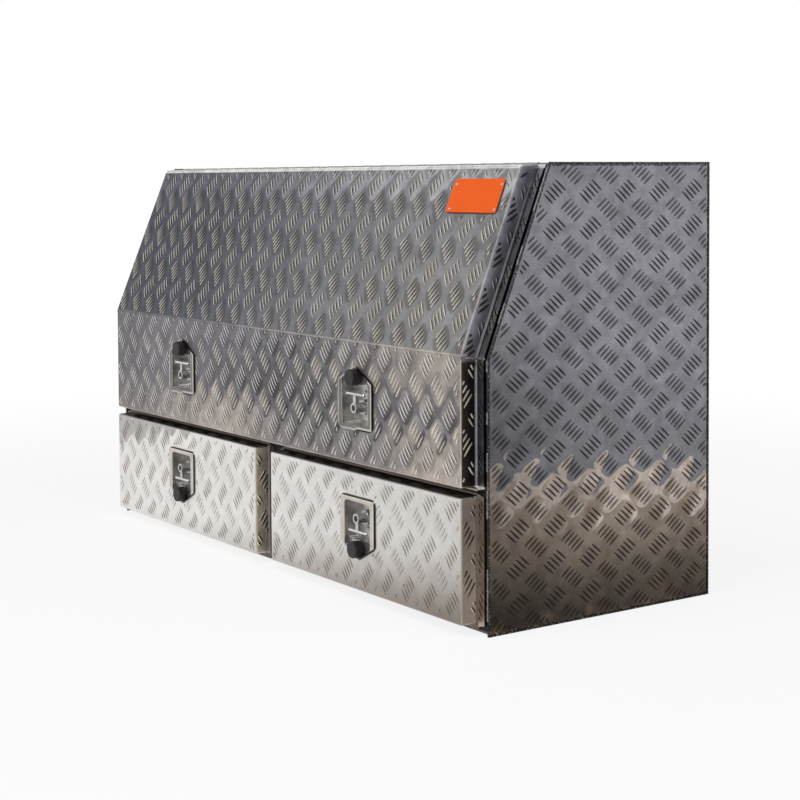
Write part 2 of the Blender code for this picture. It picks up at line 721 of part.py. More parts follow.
def make_drawer_front(side, sign, parent):
    y = FRONT_Y - FRONT_PROUD
    front = [(y, DRAWER_BOTTOM), (y, DRAWER_TOP)]
    lip = [(FRONT_Y, DRAWER_BOTTOM), (FRONT_Y, DRAWER_TOP)]
    x_low, x_high = x_span(sign, SPLIT_X, FRONT_X)
    low_lip, high_lip = (DRAWER_INNER_LIP, SIDE_LIP) if sign > 0 else (SIDE_LIP, DRAWER_INNER_LIP)
    lips = [((x_high, FRONT_Y, 0), (x_high, FRONT_Y, HEIGHT), (high_lip, 0, 0)),
            ((x_low, FRONT_Y, 0), (x_low, FRONT_Y, HEIGHT), (-low_lip, 0, 0)),
            ((x_low, FRONT_Y, DRAWER_BOTTOM), (x_high, FRONT_Y, DRAWER_BOTTOM), (0, 0, -DRAWER_BOTTOM_LIP)),
            ((x_low, FRONT_Y, DRAWER_TOP), (x_high, FRONT_Y, DRAWER_TOP), (0, 0, EDGE_LIP))]
    name = f"drawer_front_{side}"
    skin = folded_front(name, front, lip, x_low, x_high, lips, TREAD_ALUMINIUM, parent)
    cut(skin, latch_hole((sign * DRAWER_CENTRE_X, DRAWER_LATCH_Z), -1.0, y))


# Continuous hinge
def hinge_half_length():
    return FRONT_X - SHEET - HINGE_END_GAP


def knuckle_spans(first):
    """X spans of every other knuckle along the hinge."""
    half = hinge_half_length()
    pitch = 2 * half / KNUCKLE_COUNT
    spans = []
    for index in range(first, KNUCKLE_COUNT, 2):
        low = -half + index * pitch + KNUCKLE_GAP / 2
        spans.append((low, low + pitch - KNUCKLE_GAP))
    return spans


def comb(far, near, tab_end, spans):
    """Outline of a leaf with a tab for each knuckle."""
    half = hinge_half_length()
    points = [(-half, near)]
    for low, high in spans:
        low += TAB_INSET
        high -= TAB_INSET
        points += [(low, near), (low, tab_end), (high, tab_end), (high, near)]
    return points + [(half, near), (half, far), (-half, far)]


def make_hinge_leaf(name, seat, far, near, tab_end, first, parent):
    """A leaf, its knuckles and the bore for the pin. The seat's Z is square to the sheet."""
    spans = knuckle_spans(first)
    mesh = outline_solid([comb(far, near, tab_end, spans)], LEAF, Matrix.Identity(4), (0, 0, 0))
    mesh.transform(seat)
    leaf = add(name, mesh, STAINLESS, parent)
    rolls = []
    for low, high in spans:
        rolls.append(cylinder(KNUCKLE_RADIUS, (low, HINGE_Y, HINGE_Z), (high, HINGE_Y, HINGE_Z),
                              SMALL_SEGMENTS))
    fuse(leaf, joined(rolls))
    reach = hinge_half_length() + CUT_OVERRUN
    cut(leaf, cylinder(HINGE_PIN_RADIUS + HINGE_BORE_CLEARANCE, (-reach, HINGE_Y, HINGE_Z),
                       (reach, HINGE_Y, HINGE_Z), SMALL_SEGMENTS))


def make_hinge():
    near = -(KNUCKLE_RADIUS + LEAF_CLEARANCE)
    leaf_z = DOOR_TOP - SHEET - GAP - LEAF / 2
    seat = Matrix.Translation((0, HINGE_Y, leaf_z))
    make_hinge_leaf("hinge_leaf_door", seat, near - LEAF_WIDTH, near, 0, 1, DOOR)
    leaf_setback = JAMB_FACE - GAP - LEAF / 2 - HINGE_SETBACK
    seat = Matrix.Translation((0, HINGE_Y, HINGE_Z)) @ slope_turn()
    seat = seat @ Matrix.Translation((0, 0, -leaf_setback))
    make_hinge_leaf("hinge_leaf_cabinet", seat, near - CABINET_LEAF_WIDTH, near, 0, 0, CABINET)
    reach = hinge_half_length()
    add("hinge_pin", cylinder(HINGE_PIN_RADIUS, (-reach, HINGE_Y, HINGE_Z),
                              (reach, HINGE_Y, HINGE_Z), SMALL_SEGMENTS), STAINLESS)


# Stiffener
def make_stiffener():
    """A top-hat channel across the inside of the slope."""
    skin = FRONT_PROUD - SHEET - GAP
    crest = STIFFENER_CREST / 2
    foot = crest + STIFFENER_FOOT
    deep = skin - STIFFENER_DEPTH
    wall = STIFFENER_SHEET
    middle = STIFFENER_UP_SLOPE
    outline = [on_slope(middle - foot, skin), on_slope(middle - crest, skin),
               on_slope(middle - crest, deep + wall), on_slope(middle + crest, deep + wall),
               on_slope(middle + crest, skin), on_slope(middle + foot, skin),
               on_slope(middle + foot, skin - wall), on_slope(middle + crest + wall, skin - wall),
               on_slope(middle + crest + wall, deep), on_slope(middle - crest - wall, deep),
               on_slope(middle - crest - wall, skin - wall), on_slope(middle - foot, skin - wall)]
    half = FRONT_X - STIFFENER_END_GAP
    add("door_stiffener", prism_x(outline, -half, half), PLAIN_ALUMINIUM, DOOR)


# Gas struts
STUD_UP_SLOPE = SLOPE_LENGTH - STRUT_STUD_BELOW_ROOF
STUD_Y, STUD_Z = on_slope(STUD_UP_SLOPE, 0)
PIVOT_Y = HINGE_Y + STRUT_PIVOT_BEHIND_HINGE
PIVOT_Z = HINGE_Z - STRUT_PIVOT_BELOW_HINGE
STRUT_LENGTH = math.hypot(STUD_Y - PIVOT_Y, STUD_Z - PIVOT_Z)
STRUT_X = FRONT_X - SHEET - STRUT_INSET


def strut_turn():
    """Turns +Z to the strut's direction, from the cabinet's pivot to the door's stud."""
    along = Vector((0, STUD_Y - PIVOT_Y, STUD_Z - PIVOT_Z)).normalized()
    side = Vector((1, 0, 0))
    up = along.cross(side)
    return Matrix((side, up, along)).transposed().to_4x4()


def place_local(mesh, parent):
    """Send a mesh that was made about a frame to its world place."""
    mesh.transform(FRAME_PLACES[parent.name])
    return mesh


def make_strut(side, sign):
    tube_frame = frame(f"strut_{side}_frame", (sign * STRUT_X, PIVOT_Y, PIVOT_Z), CABINET,
                       strut_turn())
    half_eye = STRUT_EYE_THICKNESS / 2
    tube_end = STRUT_LENGTH - STRUT_ROD_SHOWING
    bore = STRUT_ROD_RADIUS + RUNNING_CLEARANCE
    tube_floor = STRUT_NECK + STRUT_TUBE_FLOOR
    neck_start = STRUT_EYE_RADIUS - WELD_OVERLAP
    profile = [(0, tube_floor), (bore, tube_floor), (bore, tube_end),
               (STRUT_TUBE_RADIUS, tube_end), (STRUT_TUBE_RADIUS, STRUT_NECK),
               (STRUT_NECK_RADIUS, STRUT_NECK), (STRUT_NECK_RADIUS, neck_start),
               (0, neck_start)]
    eye = cylinder(STRUT_EYE_RADIUS, (-half_eye, 0, 0), (half_eye, 0, 0))
    tube = add(f"strut_cylinder_{side}", place_local(eye, tube_frame), BLACK_ENAMEL, tube_frame)
    fuse(tube, place_local(turned(profile, ROUND_SEGMENTS, Matrix.Identity(4)), tube_frame))
    hole = STRUT_PIN_RADIUS + RUNNING_CLEARANCE
    cut(tube, place_local(cylinder(hole, (-half_eye - CUT_OVERRUN, 0, 0),
                                   (half_eye + CUT_OVERRUN, 0, 0)), tube_frame))
    rod_start = tube_floor + STRUT_STOP_GAP
    rod_end = STRUT_LENGTH - STRUT_EYE_RADIUS + STRUT_ROD_INTO_EYE
    rod = cylinder(STRUT_ROD_RADIUS, (0, 0, rod_start), (0, 0, rod_end))
    rod = add(f"strut_rod_{side}", place_local(rod, tube_frame), STAINLESS, tube_frame)
    fuse(rod, place_local(cylinder(STRUT_EYE_RADIUS, (-half_eye, 0, STRUT_LENGTH),
                                   (half_eye, 0, STRUT_LENGTH)), tube_frame))


def make_strut_bracket(side, sign):
    """The plate, post and pin on the end panel that carry the strut's tube."""
    half_eye = STRUT_EYE_THICKNESS / 2
    wall = WALL_X - GAP
    low, high = x_span(sign, wall - SHEET, wall)
    plate = box((low, PIVOT_Y - BRACKET_WIDTH / 2, PIVOT_Z - BRACKET_LENGTH / 2),
                (high, PIVOT_Y + BRACKET_WIDTH / 2, PIVOT_Z + BRACKET_LENGTH / 2))
    bracket = add(f"strut_bracket_{side}", plate, ZINC_STEEL)
    post_end = STRUT_X + half_eye + GAP
    start = (sign * (wall - SHEET + WELD_OVERLAP), PIVOT_Y, PIVOT_Z)
    fuse(bracket, cylinder(STRUT_POST_RADIUS, start, (sign * post_end, PIVOT_Y, PIVOT_Z)))
    pin_end = STRUT_X - half_eye - OPEN_PIVOT_GAP
    fuse(bracket, cylinder(STRUT_PIN_RADIUS, start, (sign * pin_end, PIVOT_Y, PIVOT_Z)))


def make_strut_stud(side, sign):
    """The plate and stud on the door that the strut's rod ends against."""
    outer = FRONT_X - SHEET - GAP
    inner = outer - SHEET
    half = BRACKET_WIDTH / 2
    along = STUD_UP_SLOPE
    outline = [on_slope(along - half, STUD_PLATE_REACH), on_slope(along + half, STUD_PLATE_REACH),
               on_slope(along + half, -STUD_PLATE_TAIL), on_slope(along - half, -STUD_PLATE_TAIL)]
    stud = add(f"strut_stud_{side}", prism_x(outline, *x_span(sign, inner, outer)), ZINC_STEEL, DOOR)
    end = STRUT_X + STRUT_EYE_THICKNESS / 2 + OPEN_PIVOT_GAP
    fuse(stud, cylinder(STUD_RADIUS, (sign * (inner + WELD_OVERLAP), STUD_Y, STUD_Z),
                        (sign * end, STUD_Y, STUD_Z)))


# Drawers
TRAY_OUTER_X = JAMB_X - SLIDE_FRAME_CLEARANCE - SLIDE_THICKNESS - GAP
TRAY_INNER_X = DIVIDER_FLANGE_WIDTH / 2 + SLIDE_FRAME_CLEARANCE + SLIDE_THICKNESS + GAP
TRAY_BOTTOM = SILL_HEIGHT + TRAY_SILL_CLEARANCE
TRAY_TOP = RAIL_BOTTOM - TRAY_RAIL_CLEARANCE
SLIDE_Z = TRAY_BOTTOM + SLIDE_UP_FROM_TRAY_FLOOR


def make_tray(side, sign, parent):
    x_low, x_high = x_span(sign, TRAY_INNER_X, TRAY_OUTER_X)
    y_low = FRONT_Y - FRONT_PROUD + SHEET + GAP
    y_high = FRONT_Y + TRAY_DEPTH_BEHIND_FRAME
    mesh = box((x_low, y_low, TRAY_BOTTOM), (x_high, y_high, TRAY_TOP))
    bm = bmesh.new()
    bm.from_mesh(mesh)
    open_faces = [face for face in bm.faces if face.normal.z > FACING_SHARE or face.normal.y < -FACING_SHARE]
    bmesh.ops.delete(bm, geom=open_faces, context="FACES")
    bm.to_mesh(mesh)
    bm.free()
    tray = add(f"drawer_tray_{side}", mesh, PLAIN_ALUMINIUM, parent)
    shell = tray.modifiers.new("sheet", "SOLIDIFY")
    shell.thickness = TRAY_SHEET
    shell.offset = -1.0
    shell.use_even_offset = True
    wall_y = FRONT_Y + TRAY_FRONT_WALL_SETBACK
    inset = TRAY_SHEET - WELD_OVERLAP
    fuse(tray, box((x_low + inset, wall_y, TRAY_BOTTOM + inset),
                   (x_high - inset, wall_y + TRAY_SHEET, TRAY_TOP)))


def channel(start, end, half_height, sheet):
    """A C-shaped (u, v) outline with its web at start and its flanges running to end."""
    step = sheet if end > start else -sheet
    return [(start, -half_height), (end, -half_height), (end, -half_height + sheet),
            (start + step, -half_height + sheet), (start + step, half_height - sheet),
            (end, half_height - sheet), (end, half_height), (start, half_height)]


def slide_outline(points, wall_x, direction):
    """Slide outline points, measured from the face that the slide hangs on, as (x, z)."""
    placed = [(wall_x + direction * u, SLIDE_Z + v) for u, v in points]
    return placed if direction > 0 else placed[::-1]


def make_slides(side, place, wall_x, direction, spacer, drawer_parent, middle_parent):
    """The three members of one slide, from the cabinet's wall to the tray."""
    name = f"{side}_{place}"
    half = SLIDE_HEIGHT / 2
    sheet = SLIDE_SHEET
    y_low = FRONT_Y + SLIDE_SETBACK
    y_high = y_low + SLIDE_LENGTH
    outer = channel(spacer, spacer + SLIDE_OUTER_CHANNEL, half, sheet)
    foot = [(spacer, half), (spacer, sheet), (GAP + sheet, sheet), (GAP + sheet, half), (GAP, half),
            (GAP, -half), (GAP + sheet, -half), (GAP + sheet, -sheet), (spacer, -sheet)]
    fixed = outer + foot[1:]
    mesh = prism_y([slide_outline(fixed, wall_x, direction)], y_low, y_high)
    add(f"slide_cabinet_{name}", mesh, ZINC_STEEL)
    middle_half = half - sheet - SLIDE_RUNNING_GAP
    middle = channel(spacer + SLIDE_MIDDLE_FROM, spacer + SLIDE_MIDDLE_TO, middle_half, sheet)
    mesh = prism_y([slide_outline(middle, wall_x, direction)], y_low, y_high)
    add(f"slide_middle_{name}", mesh, ZINC_STEEL, middle_parent)
    inner_half = middle_half - sheet - SLIDE_RUNNING_GAP
    inner = channel(spacer + SLIDE_THICKNESS, spacer + SLIDE_INNER_FROM, inner_half, sheet)
    mesh = prism_y([slide_outline(inner, wall_x, direction)], y_low, y_high)
    add(f"slide_drawer_{name}", mesh, ZINC_STEEL, drawer_parent)


def make_drawer(side, sign):
    centre = (sign * DRAWER_CENTRE_X, FRONT_Y, SLIDE_Z)
    drawer = frame(drawer_frame_name(side), centre, CABINET)
    middle = frame(f"drawer_{side}_middle_frame", centre, CABINET)
    make_drawer_front(side, sign, drawer)
    make_tray(side, sign, drawer)
    outer_spacer = WALL_X - JAMB_X + SLIDE_FRAME_CLEARANCE
    inner_spacer = (DIVIDER_FLANGE_WIDTH - SHEET) / 2 + SLIDE_FRAME_CLEARANCE
    make_slides(side, "outer", sign * WALL_X, -sign, outer_spacer, drawer, middle)
    make_slides(side, "inner", sign * SHEET / 2, sign, inner_spacer, drawer, middle)
    return drawer


# Latches: made about the hub's axis on the face of the plate
# Across is to the right, along is towards the point, and in is into the cabinet
LATCH_AXES = Matrix(((1, 0, 0, 0), (0, 0, 1, 0), (0, 1, 0, 0), (0, 0, 0, 1)))
UPSIDE_DOWN = Matrix.Rotation(math.pi, 4, "Y")
POINT_SLANT = math.hypot(LATCH_PLATE_HALF_WIDTH, LATCH_PLATE_APEX - LATCH_PLATE_SHOULDER)
POINT_RISE = LATCH_PLATE_APEX - LATCH_PLATE_SHOULDER


def house(half_width, flat_end, shoulder, apex):
    """An outline with a flat end and a pointed end, as (across, along) points."""
    return [(-half_width, -flat_end), (half_width, -flat_end), (half_width, shoulder),
            (0, apex), (-half_width, shoulder)]


def dish_point(grow):
    """Shoulder and apex of the dish's pointed end, which keeps a margin inside the plate."""
    apex = LATCH_PLATE_APEX - (SHELF_MARGIN - grow) * POINT_SLANT / LATCH_PLATE_HALF_WIDTH
    shoulder = apex - (DISH_HALF_WIDTH + grow) * POINT_RISE / LATCH_PLATE_HALF_WIDTH
    return (shoulder, apex)


def plate_outline():
    points = house(LATCH_PLATE_HALF_WIDTH, LATCH_PLATE_FLAT_END, LATCH_PLATE_SHOULDER,
                   LATCH_PLATE_APEX)
    return rounded(points, [LATCH_PLATE_CORNER] * len(points))


def deep_outline(grow):
    half = DISH_HALF_WIDTH + grow
    points = rectangle(-half, half, -DISH_FLAT_END - grow, SHELF_START + grow)
    return rounded(points, [DISH_CORNER] * len(points))


def shelf_outline(grow):
    """The shallow end of the dish, under the point of the plate."""
    shoulder, apex = dish_point(grow)
    points = house(DISH_HALF_WIDTH + grow, -SHELF_START + SHELF_MARGIN, shoulder, apex)
    return rounded(points, [0, 0, SHELF_MARGIN, DISH_CORNER, SHELF_MARGIN])


def latch_hole(place, up, face_y):
    """The hole in a front that the latch's dish drops through."""
    grow = LATCH_SHEET + HOLE_CLEARANCE
    shoulder, apex = dish_point(grow)
    points = house(DISH_HALF_WIDTH + grow, DISH_FLAT_END + grow, shoulder, apex)
    points = rounded(points, [DISH_CORNER, DISH_CORNER, 0, DISH_CORNER, 0])
    x, z = place
    placed = [(x + up * across, z + up * along) for across, along in points]
    return prism_y([placed], face_y - CUT_OVERRUN, face_y + SHEET + CUT_OVERRUN)


def latch_prism(outline, start, end):
    """A latch outline that runs from one depth to another."""
    flat = outline_solid([outline], end - start, Matrix.Identity(4), (0, 0, (start + end) / 2))
    flat.transform(LATCH_AXES)
    flat.flip_normals()
    return flat


def latch_rod(radius, start, end, along=0.0, segments=ROUND_SEGMENTS):
    """A round piece whose axis runs into the cabinet."""
    return cylinder(radius, (0, start, along), (0, end, along), segments)


def latch_box(half_across, along, depth):
    """A block across the middle, between two places along and two depths."""
    return box((-half_across, depth[0], along[0]), (half_across, depth[1], along[1]))


class Latch:
    """One latch: where it sits, which way its point faces and what carries it."""

    def __init__(self, name, place, up, carrier):
        self.name = name
        x, z = place
        self.place = Matrix.Translation((x, PLATE_FACE_Y, z))
        if up < 0:
            self.place = self.place @ UPSIDE_DOWN
        self.carrier = carrier

    def moving(self, piece, along, parent):
        spot = self.place @ Vector((0, 0, along))
        return frame(f"{piece}_{self.name}_frame", spot, parent)

    def add(self, piece, mesh, surface, parent):
        mesh.transform(self.place)
        return add(f"{piece}_{self.name}", mesh, surface, parent)

    def fuse(self, target, mesh):
        mesh.transform(self.place)
        fuse(target, mesh)

    def cut(self, target, mesh):
        mesh.transform(self.place)
        cut(target, mesh)


def make_latch_pan(latch):
    floor = DISH_DEPTH + LATCH_SHEET
    inside = LATCH_PLATE_THICKNESS - WELD_OVERLAP
    pan = latch.add("latch_pan", latch_prism(plate_outline(), 0, LATCH_PLATE_THICKNESS),
                    STAINLESS, latch.carrier)
    latch.fuse(pan, latch_prism(deep_outline(LATCH_SHEET), inside, floor))
    latch.fuse(pan, latch_prism(shelf_outline(LATCH_SHEET), inside, SHELF_DEPTH + LATCH_SHEET))
    latch.cut(pan, latch_prism(deep_outline(0), -CUT_OVERRUN, DISH_DEPTH))
    latch.cut(pan, latch_prism(shelf_outline(0), -CUT_OVERRUN, SHELF_DEPTH))
    latch.fuse(pan, latch_rod(BOSS_RADIUS, DISH_DEPTH - BOSS_HEIGHT, DISH_DEPTH + WELD_OVERLAP))
    latch.cut(pan, latch_rod(SPINDLE_RADIUS + RUNNING_CLEARANCE, 0, floor + CUT_OVERRUN))
    latch.cut(pan, latch_rod(BUTTON_STEM_RADIUS + RUNNING_CLEARANCE, 0, floor, BUTTON_OFFSET))


CAM_FRONT = JAMB_BACK + CAM_CATCH_CLEARANCE + FRONT_Y - PLATE_FACE_Y
CAM_BACK = CAM_FRONT + CAM_SHEET


def capsule(half_length, radius):
    """Half profile of a bar with round ends, as (radius, height) points."""
    straight = half_length - radius
    points = []
    for step in range(ARC_STEPS + 1):
        angle = math.pi / 2 * (1 - step / ARC_STEPS)
        points.append((radius * math.cos(angle), straight + radius * math.sin(angle)))
    return points + [(around, -height) for around, height in reversed(points)]


TURN_TO_X = Matrix.Rotation(math.pi / 2, 4, "Y")


def make_handle(latch, parent):
    """The T-handle with its hub and the spindle that carries the cam."""
    hub_end = DISH_DEPTH - BOSS_HEIGHT - RUNNING_CLEARANCE
    bar = turned(capsule(T_BAR_HALF_LENGTH, T_BAR_RADIUS), SMALL_SEGMENTS, TURN_TO_X)
    bar.transform(Matrix.Translation((0, T_BAR_DEPTH, T_BAR_REACH)))
    handle = latch.add("t_handle", bar, STAINLESS, parent)
    half_stem = STEM_THICKNESS / 2
    latch.fuse(handle, latch_box(STEM_WIDTH / 2, (HUB_RADIUS / 2, T_BAR_REACH),
                                 (T_BAR_DEPTH - half_stem, T_BAR_DEPTH + half_stem)))
    latch.fuse(handle, latch_rod(HUB_RADIUS, -HUB_PROUD, hub_end))
    latch.fuse(handle, latch_rod(SPINDLE_RADIUS, hub_end - WELD_OVERLAP, CAM_BACK + SPINDLE_TAIL))
    latch.cut(handle, latch_rod(KEY_RADIUS + RUNNING_CLEARANCE, -CUT_OVERRUN,
                                HUB_BORE_DEPTH - HUB_PROUD))


def make_cam(latch, parent):
    """The catch on the spindle's end, which points sideways while the latch is open."""
    half = CAM_WIDTH / 2
    outline = rounded([(-half, -half), (CAM_LENGTH, -half), (CAM_LENGTH, half), (-half, half)],
                      [half * CAM_ROUND_SHARE, CAM_TIP_RADIUS, CAM_TIP_RADIUS,
                       half * CAM_ROUND_SHARE])
    cam = latch.add("latch_cam", latch_prism(outline, CAM_FRONT, CAM_BACK), ZINC_STEEL, parent)
    latch.fuse(cam, latch_rod(CAM_COLLAR_RADIUS, CAM_FRONT - CAM_COLLAR, CAM_FRONT + WELD_OVERLAP))
    latch.cut(cam, latch_rod(SPINDLE_RADIUS + GAP, CAM_FRONT - CAM_COLLAR - CUT_OVERRUN,
                             CAM_BACK + CUT_OVERRUN))


def make_key_plug(latch, parent):
    front = -HUB_PROUD - KEY_PROUD
    plug = latch.add("key_plug", latch_rod(KEY_RADIUS, front, front + KEY_LENGTH), BRASS, parent)
    half_slot = KEY_SLOT_LENGTH / 2
    latch.cut(plug, latch_box(KEY_SLOT_WIDTH / 2, (-half_slot, half_slot),
                              (front - CUT_OVERRUN, front + KEY_SLOT_DEPTH)))


def make_button(latch, parent):
    """The rubber push button, its stem and the washer that keeps it in the pan."""
    back = SHELF_DEPTH - BUTTON_TRAVEL - GAP
    washer = SHELF_DEPTH + LATCH_SHEET + GAP
    tail = washer + BUTTON_RETAINER + BUTTON_STEM_TAIL
    edge = BUTTON_EDGE
    face = BUTTON_RADIUS
    profile = [(0, -BUTTON_PROUD)]
    for step in range(ARC_STEPS + 1):
        angle = math.pi / 2 * step / ARC_STEPS
        profile.append((face - edge + edge * math.sin(angle),
                        -BUTTON_PROUD + edge - edge * math.cos(angle)))
    profile += [(face, back), (BUTTON_STEM_RADIUS, back), (BUTTON_STEM_RADIUS, washer),
                (BUTTON_RETAINER_RADIUS, washer), (BUTTON_RETAINER_RADIUS, washer + BUTTON_RETAINER),
                (BUTTON_STEM_RADIUS, washer + BUTTON_RETAINER), (BUTTON_STEM_RADIUS, tail), (0, tail)]
    cap = turned(profile, ROUND_SEGMENTS, TURN_TO_Y)
    cap.transform(Matrix.Translation((0, 0, BUTTON_OFFSET)))
    latch.add("push_button", cap, BLACK_RUBBER, parent)


def make_latch(name, place, up, carrier):
    latch = Latch(name, place, up, carrier)
    handle = latch.moving("t_handle", 0, carrier)
    make_latch_pan(latch)
    make_handle(latch, handle)
    make_cam(latch, handle)
    make_key_plug(latch, latch.moving("key_plug", 0, handle))
    make_button(latch, latch.moving("push_button", BUTTON_OFFSET, carrier))


# Plate on the slope
def make_name_plate():
    """A plain enamelled plate with four rivets, where the real box has its badge."""
    half = NAME_PLATE_WIDTH / 2
    rise = NAME_PLATE_HEIGHT / 2
    outline = rounded(rectangle(-half, half, -rise, rise), [NAME_PLATE_CORNER] * RECTANGLE_CORNERS)
    y, z = on_slope(SLOPE_LENGTH - NAME_PLATE_BELOW_ROOF, FRONT_PROUD + GAP)
    seat = Matrix.Translation((FRONT_X - NAME_PLATE_FROM_SIDE, y, z)) @ slope_turn()
    mesh = outline_solid([outline], NAME_PLATE_SHEET, Matrix.Identity(4),
                         (0, 0, NAME_PLATE_SHEET / 2))
    mesh.transform(seat)
    plate = add("name_plate", mesh, ORANGE_ENAMEL, DOOR)
    rivets = []
    for across in (-half + NAME_PLATE_RIVET_INSET, half - NAME_PLATE_RIVET_INSET):
        for up in (-rise + NAME_PLATE_RIVET_INSET, rise - NAME_PLATE_RIVET_INSET):
            low = seat @ Vector((across, up, NAME_PLATE_SHEET / 2))
            high = seat @ Vector((across, up, NAME_PLATE_SHEET + NAME_PLATE_RIVET_HEIGHT))
            rivets.append(cylinder(NAME_PLATE_RIVET_RADIUS, low, high, SMALL_SEGMENTS))
    fuse(plate, joined(rivets))


make_roof()
make_floor()
make_back()
make_rail_and_shelf()
make_divider()
make_door_seal()
make_drawer_seal()
make_door_skin()
make_hinge()
make_stiffener()
make_name_plate()
for side, sign in both_sides():
    make_end_panel(side, sign)
    make_strut(side, sign)
    make_strut_bracket(side, sign)
    make_strut_stud(side, sign)
    drawer = make_drawer(side, sign)
    make_latch(f"door_{side}", (sign * DOOR_LATCH_X, DOOR_LATCH_Z), 1.0, DOOR)
    make_latch(f"drawer_{side}", (sign * DRAWER_CENTRE_X, DRAWER_LATCH_Z), -1.0, drawer)
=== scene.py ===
"""Looks for a two-drawer tray toolbox in aluminium tread plate.

Run as a script in Blender 4.5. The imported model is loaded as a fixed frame. On it go the raised
tread bars, the weld beads, the rivets and the finishes, and round it the studio and the camera.
"""
import math
import random

import bmesh
import bpy
from bpy.props import FloatProperty, FloatVectorProperty, IntProperty, PointerProperty
from bpy.types import Operator, Panel, PropertyGroup
from mathutils import Matrix, Vector


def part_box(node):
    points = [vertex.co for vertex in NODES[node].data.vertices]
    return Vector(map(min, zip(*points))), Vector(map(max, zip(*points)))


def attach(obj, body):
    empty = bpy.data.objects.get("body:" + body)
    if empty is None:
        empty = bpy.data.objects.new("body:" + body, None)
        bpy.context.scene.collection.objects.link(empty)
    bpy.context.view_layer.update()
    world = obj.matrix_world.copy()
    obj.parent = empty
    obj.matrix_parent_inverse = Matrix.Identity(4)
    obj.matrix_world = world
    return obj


bl_info = {
    "name": "Tread plate toolbox looks",
    "version": (1, 0, 0),
    "blender": (4, 5, 0),
    "location": "3D View > Sidebar > Toolbox",
    "description": "Tread bars, welds, rivets, finishes and studio for a tray toolbox",
    "category": "Object",
}

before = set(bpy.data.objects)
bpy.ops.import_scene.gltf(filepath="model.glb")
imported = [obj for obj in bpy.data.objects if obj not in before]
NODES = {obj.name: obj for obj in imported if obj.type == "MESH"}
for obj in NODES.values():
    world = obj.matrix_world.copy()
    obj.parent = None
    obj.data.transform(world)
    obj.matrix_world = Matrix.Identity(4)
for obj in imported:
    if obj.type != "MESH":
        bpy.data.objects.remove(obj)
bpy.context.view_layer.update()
MM = 0.001
SIDES = (("left", -1.0), ("right", 1.0))

# Places of the sheets, read from the frame
DOOR_LOW, DOOR_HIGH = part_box("door_skin")
DRAWER_LOW, DRAWER_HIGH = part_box("drawer_front_right")
END_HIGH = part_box("end_panel_right")[1]
ROOF_LOW, ROOF_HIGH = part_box("roof_panel")
BACK_LOW, BACK_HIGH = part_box("back_panel")

# Measures of the folded fronts
PROUD = 36.5 * MM
SIDE_LIP = 23.0 * MM
SPLIT_LIP = 18.0 * MM
FOOT_LIP = 12.0 * MM
EDGE_LIP = 7.0 * MM
KINK_Z = 499.0 * MM
SETBACK = 145.0 * MM
BEND = 5.0 * MM
BEND_TAKE = 4.0 * MM
KINK_TAKE = 2.2 * MM

# Plain edges beside the bars, and the ground that the bars stand on
SIDE_EDGE = 2.5 * MM
LIP_EDGE = 1.0 * MM
PLAIN_EDGE = 3.0 * MM
END_RIM = 5.0 * MM
END_GROUND_X = END_HIGH.x - 1.2 * MM
# Where the painted shadow rims on the lips begin
DOOR_SHADOW_RIM_X = DOOR_HIGH.x - 4.0 * MM
DRAWER_SHADOW_RIM_X = DRAWER_HIGH.x - 3.5 * MM

# Random seeds, how much the bars differ in brightness, and the repeated solids' segments and rings
BAR_SEED, WELD_SEED = 11, 5
BAR_LEVELS = (0.80, 1.15)
BAR_BALL, BEAD_BALL, RIVET_BALL = (8, 5), (8, 4), (16, 8)

# Where the finishes change, in metres: the end panels' pale band of painted reflection, with its
# fall towards the back and its wave, then how far the bars' domes shift an edge of painted
# reflection or shade, and heights and widths on the fronts
BAND_TOP = 0.292
BAND_FALL = 0.075
BAND_WAVE = 0.040
TILT_SHIFT = 0.045
FRONT_SEAM = (0.500, 0.510)
SIDE_SEAM = (0.490, 0.500)
LEFT_END = (-0.60, -0.20)
SHADE_FOOT = 0.176
HALF_WIDTH = 0.69

# Places and directions that follow from these
PAN_Y = DRAWER_LOW.y
LIP_Y = PAN_Y + PROUD
FRONT_X = DRAWER_HIGH.x - SIDE_LIP
SPLIT_X = DRAWER_LOW.x + SPLIT_LIP
DRAWER_BOTTOM = DRAWER_LOW.z + FOOT_LIP
DRAWER_TOP = DRAWER_HIGH.z - EDGE_LIP
DOOR_BOTTOM = DOOR_LOW.z + EDGE_LIP
DOOR_TOP = DOOR_HIGH.z
SLOPE = math.atan2(SETBACK, END_HIGH.z - KINK_Z)
PAN_KINK_Z = KINK_Z + PROUD * math.tan(SLOPE / 2)
SLOPE_LENGTH = (DOOR_TOP - PAN_KINK_Z) / math.cos(SLOPE)
UP_SLOPE = Vector((0, math.sin(SLOPE), math.cos(SLOPE)))
OUT_OF_SLOPE = Vector((0, -math.cos(SLOPE), math.sin(SLOPE)))

X = Vector((1, 0, 0))
Y = Vector((0, 1, 0))
Z = Vector((0, 0, 1))


def linear(code):
    """A screen colour such as "8A8C90" as the linear values that Blender uses."""
    parts = [int(code[at:at + 2], 16) / 255 for at in (0, 2, 4)]
    return tuple(part / 12.92 if part <= 0.04045 else ((part + 0.055) / 1.055) ** 2.4
                 for part in parts)


def length(name, text, value):
    return FloatProperty(name=name, description=text, default=value, unit="LENGTH", precision=4)


def share(name, text, value):
    return FloatProperty(name=name, description=text, default=value, min=0.0, max=1.0,
                         subtype="FACTOR")


def colour(name, text, code):
    return FloatVectorProperty(name=name, description=text, default=linear(code), size=3,
                               subtype="COLOR", min=0.0, max=1.0)


